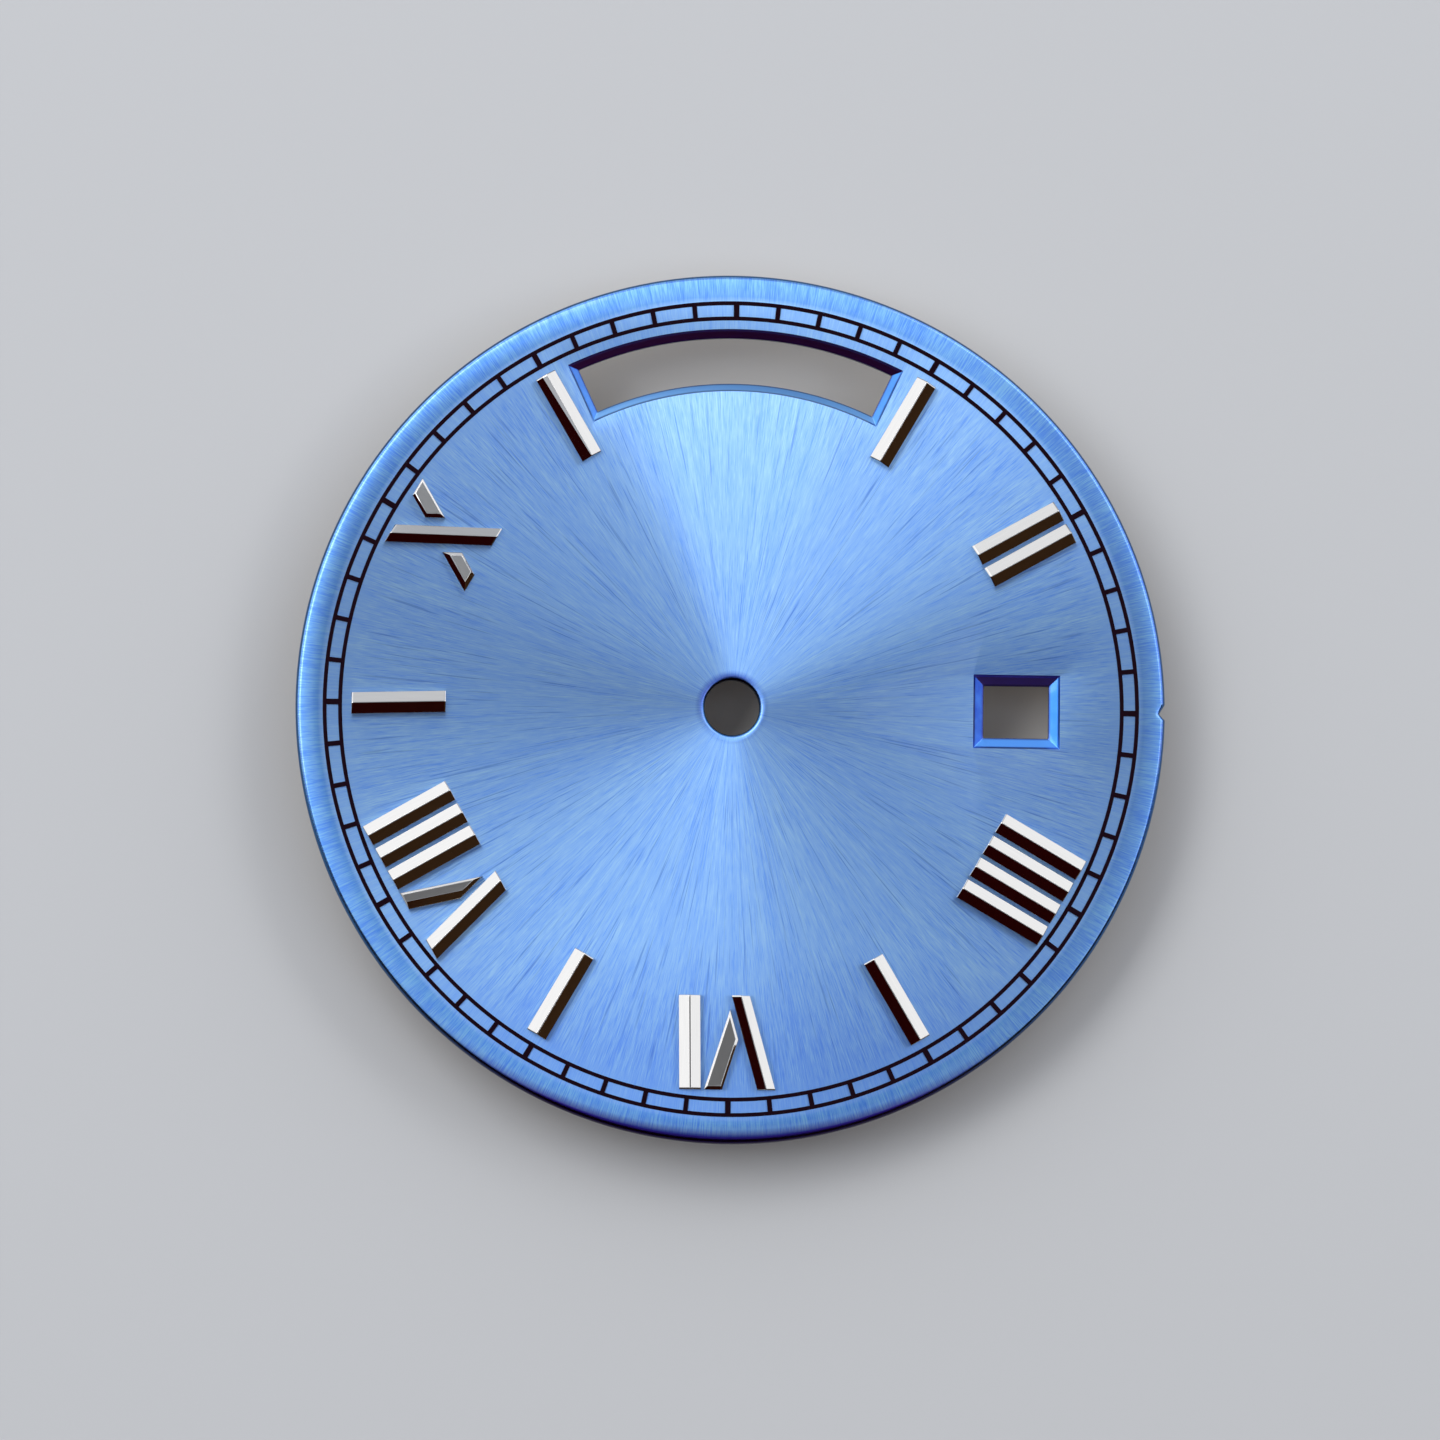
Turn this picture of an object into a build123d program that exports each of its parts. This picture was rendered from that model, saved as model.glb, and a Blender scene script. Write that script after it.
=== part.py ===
from build123d import *
import os
from math import asin, cos, hypot, radians, sin, tan

# A watch dial seen from its face: the hand axis is the Z axis, the back face of the plate lies at
# height zero, +Y points to 12 o'clock and +X to 3 o'clock. All sizes are in millimetres.

# Plate
dial_radius = 15.75
plate_thick = 0.5
hand_hole_radius = 1.0
hand_hole_round = 0.08
rim_width = 0.9
rim_round = 0.25
rim_slope = 12
edge_break = 0.04
overrun = 0.2

# Notch in the rim at 3 o'clock, one flank longer than the other
notch_depth = 0.2
notch_upper = 0.33
notch_lower = 0.2
notch_round = 0.04

# Date window at 3 o'clock
date_centre = 10.32
date_long = 2.37
date_wide = 1.89
date_bevel = 0.385
date_corner = 0.05

# Day window at 12 o'clock, a stretch of ring between two radial ends
day_wide = 1.655
day_half_angle = 25.0
day_bevel = 0.3
day_margin = 0.32

# Depth of both windows' bevels below the face
bevel_depth = 0.3

# Printed minute track: two rings with sixty ticks between them
minutes = 60
hours = 12
ring_line = 0.14
ring_spacing = 0.557
tick_line = 0.17
hour_tick_line = 0.2
track_margin = 0.08
ink_thick = 0.03

# Applied markers: roofed bars and strokes, and short flat-topped strokes with bevelled edges
mark_length = 3.4
mark_margin = 0.28
bar_width = 0.78
bar_gap = 0.135
wall_height = 0.2
ridge_height = 0.42
end_bevel = 0.07
flat_height = 0.3
flat_bevel = 0.09
flat_bevel_drop = 0.06

# Markers' own feet, each in a hole through the plate, its end just inside the back face
foot_radius = 0.14
foot_play = 0.02
foot_inset = 0.6
foot_shy = 0.02

# The V of 6 and 8: a long stroke leaning left, and a short one that stops beside it
v_spread = 0.96
v_long_width = {6: 0.66, 8: 0.8}
v_short_width = 0.66
v_short_slope = 17.5
v_gap = 0.19
v_tip = 0.5

# The X of 10: a long stroke, and a short one on either side of it
x_spread = 1.86
x_long_width = 0.73
x_short_width = 0.72
x_short_slope = 29.7
x_gap = 0.33
x_tip = 0.255

# Where the bars of each hour stand side by side, counted in pitches of one bar and one gap
bar_place_shares = {1: (0,), 2: (-0.5, 0.5), 4: (-1.5, -0.5, 0.5, 1.5), 5: (0,), 7: (0,), 9: (0,), 11: (0,)}

# How far an hour's markers were set outwards and clockwise, as shares of a bar's width, and how far
# its bars lean clockwise
set_out_shares = {2: 0.08, 4: 0.08, 7: -0.04, 8: -0.06, 9: -0.07, 10: 0.05}
set_over_shares = {1: 0.05, 6: 0.06, 7: 0.07}
bar_lean = {2: 0.5, 5: -0.8, 6: -0.9, 9: -1.8, 11: -0.4}

# Dial feet: headed pins brazed into recesses in the back, not quite opposite each other
pin_radius = 0.37
pin_reach = 2.2
pin_tip_break = 0.1
head_radius = 0.75
head_thick = 0.15
braze_gap = 0.03
pin_circle = 12.9
pin_bearings = {"dial_foot_a": 107, "dial_foot_b": 284}

# Places that follow from the sizes above, from the rim inwards
flat_radius = dial_radius - rim_width
outer_ring = flat_radius - track_margin - ring_line / 2
inner_ring = outer_ring - ring_spacing
day_outer = inner_ring - ring_line / 2 - day_margin - day_bevel
day_inner = day_outer - day_wide
mark_inner = inner_ring - ring_line / 2 - mark_margin - mark_length
bar_pitch = bar_width + bar_gap
hour_step = 360 / hours


def bearing_point(x, y, bearing):
    """Point of the dial at x clockwise and y outwards, seen along a bearing from 12 o'clock."""
    turn = radians(bearing)
    return (x * cos(turn) + y * sin(turn), y * cos(turn) - x * sin(turn))


def hour_plane(hour, height):
    """Plane at a height with its X axis clockwise and its Y axis out through the hour."""
    turn = radians(hour_step * hour)
    return Plane(origin=(0, 0, height), x_dir=(cos(turn), -sin(turn), 0), z_dir=(0, 0, 1))


def inner_end(hour):
    """Radius of the inner ends of an hour's markers."""
    return mark_inner + set_out_shares.get(hour, 0) * bar_width


def set_over(hour):
    """How far clockwise an hour's markers were set from their place."""
    return set_over_shares.get(hour, 0) * bar_width


def roofed_stroke(name, hour, x_in, x_out, width):
    """A stroke with a ridge, from x_in at its inner end to x_out at its outer end."""
    slope = (x_out - x_in) / mark_length
    y_in = inner_end(hour)
    feet = [
        (x_in + slope * foot_inset, y_in + foot_inset),
        (x_out - slope * foot_inset, y_in + mark_length - foot_inset),
    ]
    return {"name": name, "hour": hour, "feet": feet, "x_in": x_in, "x_out": x_out, "width": width}


def bar(name, hour, x):
    """An upright roofed stroke with its middle at x, leaning as it was set."""
    half_lean = mark_length / 2 * tan(radians(bar_lean.get(hour, 0)))
    return roofed_stroke(name, hour, x - half_lean, x + half_lean, bar_width)


def flat_stroke(name, hour, tip, long_slope, short_slope, width, turned=False):
    """A short flat-topped stroke.

    It rises from its tip to the end line of the numeral. One side runs along the long stroke and
    the other two lean by the short slope, a width apart. Turned about the numeral's middle, it
    gives the same stroke on the other side.
    """
    top = mark_length
    rise = width / (short_slope + long_slope)
    reach = short_slope * (top - tip[1])
    corners = [
        tip,
        (tip[0] + reach, top),
        (tip[0] + reach - width, top),
        (tip[0] - long_slope * rise, tip[1] + rise),
    ]
    feet = [
        (tip[0] + reach - width / 2 - short_slope * foot_inset / 2, top - foot_inset / 2),
        (corners[3][0] + width / 2, corners[3][1]),
    ]
    if turned:
        corners = [(-x, mark_length - y) for x, y in corners]
        feet = [(-x, mark_length - y) for x, y in feet]
    y_in = inner_end(hour)
    return {
        "name": name,
        "hour": hour,
        "feet": [(x, y_in + y) for x, y in feet],
        "corners": [(x, y_in + y) for x, y in corners],
    }


def v_numeral(hour, bars):
    """The V of an hour and the bars to its right, centred together on the hour."""
    long_width = v_long_width[hour]
    long_slope = v_spread / mark_length
    short_slope = tan(radians(v_short_slope))
    tip_x = long_width / 2 + v_gap - long_slope * v_tip
    v_right = tip_x + short_slope * (mark_length - v_tip)
    v_left = v_spread + long_width / 2
    shift = (v_left - v_right - bars * bar_pitch) / 2 + set_over(hour)
    first_bar = shift + v_right + bar_gap + bar_width / 2
    long_stroke = roofed_stroke(f"hour_{hour}_v_long", hour, shift, shift - v_spread, long_width)
    short_stroke = flat_stroke(
        f"hour_{hour}_v_short", hour, (shift + tip_x, v_tip), long_slope, short_slope, v_short_width
    )
    uprights = [bar(bar_name(hour, bars, n), hour, first_bar + n * bar_pitch) for n in range(bars)]
    return [long_stroke, short_stroke] + uprights


def x_numeral(hour):
    """The X of an hour: its long stroke, and the outer and inner short strokes beside it."""
    long_slope = x_spread / mark_length
    short_slope = tan(radians(x_short_slope))
    tip_x = x_long_width / 2 + x_gap - long_slope * x_tip
    tip = (tip_x, mark_length / 2 + x_tip)
    long_stroke = roofed_stroke(f"hour_{hour}_x_long", hour, x_spread / 2, -x_spread / 2, x_long_width)
    shorts = [
        flat_stroke(f"hour_{hour}_x_{side}", hour, tip, long_slope, short_slope, x_short_width, side == "inner")
        for side in ("outer", "inner")
    ]
    return [long_stroke] + shorts


def bar_name(hour, bars, n):
    """Name of bar n of an hour, with a letter where the hour has more than one."""
    return f"hour_{hour}_bar" if bars == 1 else f"hour_{hour}_bar_{'abcd'[n]}"


strokes = []
for hour, places in bar_place_shares.items():
    for n, place in enumerate(places):
        strokes.append(bar(bar_name(hour, len(places), n), hour, place * bar_pitch + set_over(hour)))
strokes += v_numeral(6, 1) + v_numeral(8, 3) + x_numeral(10)

foot_points = [bearing_point(x, y, hour_step * s["hour"]) for s in strokes for x, y in s["feet"]]
pin_points = {name: bearing_point(0, pin_circle, bearing) for name, bearing in pin_bearings.items()}

# Rim section: a shallow arc down from the flat face, then a rounded shoulder into the upright edge
slope = radians(rim_slope)
shoulder_radius = dial_radius - rim_round * (1 - sin(slope))
shoulder_height = plate_thick - (shoulder_radius - flat_radius) * tan(slope / 2)
wall_top = shoulder_height - rim_round * cos(slope)


def day_outline(grow):
    """Corners and arc middles of the day window, grown by an equal distance on all sides."""
    r_out = day_outer + grow
    r_in = day_inner - grow
    a_out = radians(day_half_angle) + asin(grow / r_out)
    a_in = radians(day_half_angle) + asin(grow / r_in)
    left_out, right_out = [(r_out * sin(a), r_out * cos(a)) for a in (-a_out, a_out)]
    left_in, right_in = [(r_in * sin(a), r_in * cos(a)) for a in (-a_in, a_in)]
    ThreePointArc(left_out, (0, r_out), right_out)
    Line(right_out, right_in)
    ThreePointArc(right_in, (0, r_in), left_in)
    Line(left_in, left_out)


# Dial plate: a turned disc, then its windows, notch and foot holes
with BuildPart() as dial_plate:
    with BuildSketch(Plane.XZ):
        with BuildLine():
            Line((hand_hole_radius, 0), (hand_hole_radius, plate_thick - hand_hole_round))
            TangentArc(
                (hand_hole_radius, plate_thick - hand_hole_round),
                (hand_hole_radius + hand_hole_round, plate_thick),
                tangent=(0, 1),
            )
            Line((hand_hole_radius + hand_hole_round, plate_thick), (flat_radius, plate_thick))
            TangentArc((flat_radius, plate_thick), (shoulder_radius, shoulder_height), tangent=(1, 0))
            TangentArc(
                (shoulder_radius, shoulder_height), (dial_radius, wall_top), tangent=(cos(slope), -sin(slope))
            )
            Line((dial_radius, wall_top), (dial_radius, edge_break))
            Line((dial_radius, edge_break), (dial_radius - edge_break, 0))
            Line((dial_radius - edge_break, 0), (hand_hole_radius, 0))
        make_face()
    revolve(axis=Axis.Z)

    # Date window: a pyramid down to the opening, then the opening itself
    with BuildSketch(Plane.XY.offset(plate_thick)):
        with Locations((date_centre, 0)):
            Rectangle(date_long + 2 * date_bevel, date_wide + 2 * date_bevel)
    with BuildSketch(Plane.XY.offset(plate_thick - bevel_depth)):
        with Locations((date_centre, 0)):
            Rectangle(date_long, date_wide)
    loft(ruled=True, mode=Mode.SUBTRACT)
    with BuildSketch():
        with Locations((date_centre, 0)):
            RectangleRounded(date_long, date_wide, date_corner)
    extrude(amount=plate_thick, mode=Mode.SUBTRACT)

    # Day window, made the same way
    with BuildSketch(Plane.XY.offset(plate_thick)):
        with BuildLine():
            day_outline(day_bevel)
        make_face()
    with BuildSketch(Plane.XY.offset(plate_thick - bevel_depth)):
        with BuildLine():
            day_outline(0)
        make_face()
    loft(ruled=True, mode=Mode.SUBTRACT)
    with BuildSketch():
        with BuildLine():
            day_outline(0)
        make_face()
    extrude(amount=plate_thick, mode=Mode.SUBTRACT)

    # Notch: both flanks run on past the rim at their own slopes
    mouth = (notch_depth + overrun) / notch_depth
    with BuildSketch():
        with BuildLine() as notch_outline:
            Polyline(
                (dial_radius - notch_depth, 0),
                (dial_radius + overrun, mouth * notch_upper),
                (dial_radius + overrun, -mouth * notch_lower),
                close=True,
            )
            fillet(notch_outline.vertices().sort_by(Axis.X)[0], radius=notch_round)
        make_face()
    extrude(amount=plate_thick, mode=Mode.SUBTRACT)

    # Holes for the markers' feet, and recesses for the heads of the dial feet
    with BuildSketch():
        with Locations(*foot_points):
            Circle(foot_radius + foot_play)
    extrude(amount=plate_thick, mode=Mode.SUBTRACT)
    with BuildSketch():
        with Locations(*pin_points.values()):
            Circle(head_radius + braze_gap)
    extrude(amount=head_thick, mode=Mode.SUBTRACT)
dial_plate.part.label = "dial_plate"
export_step(dial_plate.part, "parts/dial_plate.step")

# Minute track: the print stands on the flat part of the face
with BuildPart() as minute_track:
    with BuildSketch(Plane.XY.offset(plate_thick)):
        Circle(outer_ring + ring_line / 2)
        Circle(outer_ring - ring_line / 2, mode=Mode.SUBTRACT)
        Circle(inner_ring + ring_line / 2)
        Circle(inner_ring - ring_line / 2, mode=Mode.SUBTRACT)
        with PolarLocations(inner_ring + ring_spacing / 2, minutes):
            Rectangle(ring_spacing, tick_line)
        with PolarLocations(inner_ring + ring_spacing / 2, hours):
            Rectangle(ring_spacing, hour_tick_line)
    extrude(amount=ink_thick)
minute_track.part.label = "minute_track"
export_step(minute_track.part, "parts/minute_track.step")


def make_pin(name):
    """Dial foot: the head flush in the back of the plate, the pin standing out behind it."""
    with BuildPart(mode=Mode.PRIVATE) as foot:
        with BuildSketch():
            with Locations(pin_points[name]):
                Circle(head_radius)
        extrude(amount=head_thick)
        with BuildSketch():
            with Locations(pin_points[name]):
                Circle(pin_radius)
        extrude(amount=-pin_reach)
        chamfer(foot.faces().sort_by(Axis.Z)[0].edges(), length=pin_tip_break)
    return foot.part


def end_section_plane(stroke):
    """Plane across a roofed stroke's outer end, facing the hand axis, its Y axis upwards."""
    seat = hour_plane(stroke["hour"], plate_thick)
    return Plane(
        origin=seat.from_local_coords(Vector(stroke["x_out"], inner_end(stroke["hour"]) + mark_length, 0)),
        x_dir=seat.x_dir,
        z_dir=-seat.y_dir,
    )


def make_stroke(stroke):
    """A stroke on the face with its feet below it, either roofed or flat-topped with bevelled edges."""
    seat = hour_plane(stroke["hour"], plate_thick)
    with BuildPart(mode=Mode.PRIVATE) as mark:
        if "corners" in stroke:
            with BuildSketch(seat):
                Polygon(*stroke["corners"], align=None)
            extrude(amount=flat_height)
            top = mark.faces().sort_by(Axis.Z)[-1]
            chamfer(top.edges(), length=flat_bevel, length2=flat_bevel_drop, reference=top)
        else:
            # the end section is pushed along the stroke, and the roof's edges at both ends are broken
            half = stroke["width"] / 2
            shift = stroke["x_in"] - stroke["x_out"]
            with BuildSketch(end_section_plane(stroke)):
                Polygon(
                    (-half, 0),
                    (half, 0),
                    (half, wall_height),
                    (0, ridge_height),
                    (-half, wall_height),
                    align=None,
                )
            extrude(amount=hypot(shift, mark_length), dir=seat.x_dir * shift - seat.y_dir * mark_length)
            chamfer(mark.edges().group_by(Axis.Z)[-2], length=end_bevel)
        with BuildSketch(hour_plane(stroke["hour"], foot_shy)):
            with Locations(*stroke["feet"]):
                Circle(foot_radius)
        extrude(amount=plate_thick - foot_shy)
    return mark.part


pieces = {name: make_pin(name) for name in pin_bearings}
for stroke in strokes:
    pieces[stroke["name"]] = make_stroke(stroke)
for name, piece in pieces.items():
    piece.label = name
    export_step(piece, f"parts/{name}.step")
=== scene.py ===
"""The finished look of a day-date watch dial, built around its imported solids.

The dial's classes hold sizes in millimetres and angles in degrees, which become metres and radians where
a mesh or a node tree is made. The hand axis is the Z axis, the back face of the plate lies at height zero,
+Y points to 12 o'clock and +X to 3.
"""

import logging
import math
from collections.abc import Callable
from dataclasses import dataclass, field
from enum import Enum, IntEnum
from typing import Any, Protocol

import bmesh
import bpy
import numpy as np
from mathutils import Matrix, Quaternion, Vector
from mathutils.geometry import delaunay_2d_cdt


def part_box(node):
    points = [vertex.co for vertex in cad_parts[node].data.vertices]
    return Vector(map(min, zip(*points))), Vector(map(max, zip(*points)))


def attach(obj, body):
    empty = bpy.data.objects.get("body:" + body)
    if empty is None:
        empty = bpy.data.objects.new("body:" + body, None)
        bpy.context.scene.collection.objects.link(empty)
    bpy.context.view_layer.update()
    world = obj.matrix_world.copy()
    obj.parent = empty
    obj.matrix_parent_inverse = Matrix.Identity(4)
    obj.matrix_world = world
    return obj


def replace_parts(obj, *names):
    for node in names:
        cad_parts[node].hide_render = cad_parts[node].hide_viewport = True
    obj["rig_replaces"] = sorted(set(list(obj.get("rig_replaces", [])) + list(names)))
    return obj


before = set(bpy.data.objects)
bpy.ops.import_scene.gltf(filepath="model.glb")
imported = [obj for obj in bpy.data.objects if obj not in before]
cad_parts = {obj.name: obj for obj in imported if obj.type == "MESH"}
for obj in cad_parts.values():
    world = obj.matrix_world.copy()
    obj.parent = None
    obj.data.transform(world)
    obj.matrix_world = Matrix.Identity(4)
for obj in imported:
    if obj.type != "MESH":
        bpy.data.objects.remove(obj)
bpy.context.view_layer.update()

LOG = logging.getLogger("dial")
MM = 0.001
FULL_TURN = 2 * math.pi
HOURS = 12
MINUTES = 60
# Digits of a millimetre to which two points have to agree to be welded.
WELD_DIGITS = 5
# How near a point has to lie to an edge, in millimetres, to be taken as lying on it.
CUT_TOLERANCE = 1e-7
# Strength of each finer octave of the brush marks against the one before.
MARK_HARSHNESS = 0.85
# Points round a stroke's foot, a dial foot and the hand hole.
STROKE_FOOT_STEPS = 24
DIAL_FOOT_STEPS = 72
HAND_HOLE_STEPS = 240


class Slot(Enum):
    """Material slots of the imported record."""

    LACQUER = "dial_blue"
    INK = "track_ink"
    PLATING = "polished_marker"
    FOOT = "foot_metal"


class Way(Enum):
    """Ways across the studio in which a paper changes its colour, by their axes."""

    TO_THE_RIGHT = "X"
    AWAY = "Y"


class PlateFinish(IntEnum):
    """Numbers of the plate's finishes, in the order of its materials."""

    BRUSHED = 0
    BEVEL = 1
    BARE = 2


# Node and colour helpers


def linear(code: str) -> tuple[float, float, float, float]:
    """Turns an sRGB hex colour into the linear colour that nodes use, by the standard's own curve.

    Args:
        code: Colour such as "#5D93E0".

    Returns:
        Linear red, green and blue, and an alpha of one.
    """
    channels = np.array([int(code[i : i + 2], 16) for i in (1, 3, 5)]) / 255
    low = channels / 12.92
    high = ((channels + 0.055) / 1.055) ** 2.4
    red, green, blue = np.where(channels <= 0.04045, low, high)
    return float(red), float(green), float(blue), 1.0


def add_node(
    tree: bpy.types.NodeTree, kind: str, inputs: dict[str | int, Any] | None = None, **settings: Any
) -> bpy.types.Node:
    """Adds a node, sets its properties, and sets or links its inputs.

    Args:
        tree: Node tree that gets the node.
        kind: The node's Blender type.
        inputs: Input name or number to a value, or to an output socket to link.
        **settings: Properties of the node itself.

    Returns:
        The new node.
    """
    node = tree.nodes.new(kind)
    for key, value in settings.items():
        setattr(node, key, value)
    for key, value in (inputs or {}).items():
        if isinstance(value, bpy.types.NodeSocket):
            tree.links.new(value, node.inputs[key])
        else:
            node.inputs[key].default_value = value
    return node


def empty_material(name: str) -> tuple[bpy.types.Material, bpy.types.NodeTree]:
    """Makes a material with no nodes.

    Args:
        name: Name of the material.

    Returns:
        The material and its node tree.
    """
    material = bpy.data.materials.new(name)
    material.use_nodes = True
    material.node_tree.nodes.clear()
    return material, material.node_tree


class Finish(Protocol):
    """What every finish of the dial can do."""

    def material(self) -> bpy.types.Material:
        """Makes the finish's material."""
        ...


# Finishes


@dataclass(frozen=True)
class PolarGuide:
    """Sockets that give a point's direction from the hand axis and its distance from it."""

    direction: bpy.types.NodeSocket
    radius: bpy.types.NodeSocket
    tangent: bpy.types.NodeSocket


@dataclass(frozen=True)
class SurfaceGuide:
    """Sockets that tell where a point lies on the dial and which way its surface faces.

    Each has a share towards 3 o'clock (x), towards 12 (y) and away from the back (z).
    """

    point: bpy.types.NodeSocket
    x: bpy.types.NodeSocket
    y: bpy.types.NodeSocket
    z: bpy.types.NodeSocket
    facing_x: bpy.types.NodeSocket
    facing_y: bpy.types.NodeSocket
    facing_z: bpy.types.NodeSocket


def polar_guide(tree: bpy.types.NodeTree) -> PolarGuide:
    """Adds the nodes that turn Object coordinates into direction, radius and tangent.

    Args:
        tree: Node tree that gets the nodes.

    Returns:
        The unit vector away from the axis, the distance in metres, and the unit vector round the axis.
    """
    place = add_node(tree, "ShaderNodeTexCoord").outputs["Object"]
    flat = add_node(tree, "ShaderNodeVectorMath", {0: place, 1: (1, 1, 0)}, operation="MULTIPLY").outputs[0]
    radius = add_node(tree, "ShaderNodeVectorMath", {0: flat}, operation="LENGTH").outputs["Value"]
    direction = add_node(tree, "ShaderNodeVectorMath", {0: flat}, operation="NORMALIZE").outputs[0]
    tangent = add_node(
        tree, "ShaderNodeVectorMath", {0: (0, 0, 1), 1: direction}, operation="CROSS_PRODUCT"
    ).outputs[0]
    return PolarGuide(direction, radius, tangent)


def surface_guide(tree: bpy.types.NodeTree) -> SurfaceGuide:
    """Adds the nodes that take Object coordinates and the surface's normal apart.

    Args:
        tree: Node tree that gets the nodes.

    Returns:
        The point in metres, its three distances, and the three parts of the normal.
    """
    coordinates = add_node(tree, "ShaderNodeTexCoord").outputs
    place = add_node(tree, "ShaderNodeSeparateXYZ", {0: coordinates["Object"]}).outputs
    facing = add_node(tree, "ShaderNodeSeparateXYZ", {0: coordinates["Normal"]}).outputs
    return SurfaceGuide(
        coordinates["Object"], place["X"], place["Y"], place["Z"], facing["X"], facing["Y"], facing["Z"]
    )


def brush_marks(
    tree: bpy.types.NodeTree, guide: PolarGuide, width: float, width_at: float, length: float, octaves: float
) -> bpy.types.NodeSocket:
    """Adds noise that is drawn out along the radius, as a brush leaves it.

    A radian holds as many marks as their width goes into the radius where they have it, so they
    widen outwards. The noise is read at the direction from the axis times that number, raised by
    the radius over the marks' length, so it closes on itself round the dial.

    Args:
        tree: Node tree that gets the nodes.
        guide: Direction and radius of the point.
        width: Width of a mark in millimetres.
        width_at: Radius in millimetres at which it has that width.
        length: Length of a mark in millimetres.
        octaves: Octaves of finer marks.

    Returns:
        A value from about 0.2 to 0.8.
    """
    around = add_node(
        tree, "ShaderNodeVectorMath", {0: guide.direction, "Scale": width_at / width}, operation="SCALE"
    ).outputs[0]
    along = add_node(
        tree, "ShaderNodeMath", {0: guide.radius, 1: 1 / (length * MM)}, operation="MULTIPLY"
    ).outputs[0]
    lift = add_node(tree, "ShaderNodeCombineXYZ", {"Z": along}).outputs[0]
    where = add_node(tree, "ShaderNodeVectorMath", {0: around, 1: lift}, operation="ADD").outputs[0]
    inputs = {"Vector": where, "Scale": 1.0, "Detail": octaves, "Roughness": MARK_HARSHNESS}
    return add_node(tree, "ShaderNodeTexNoise", inputs).outputs[0]


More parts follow.
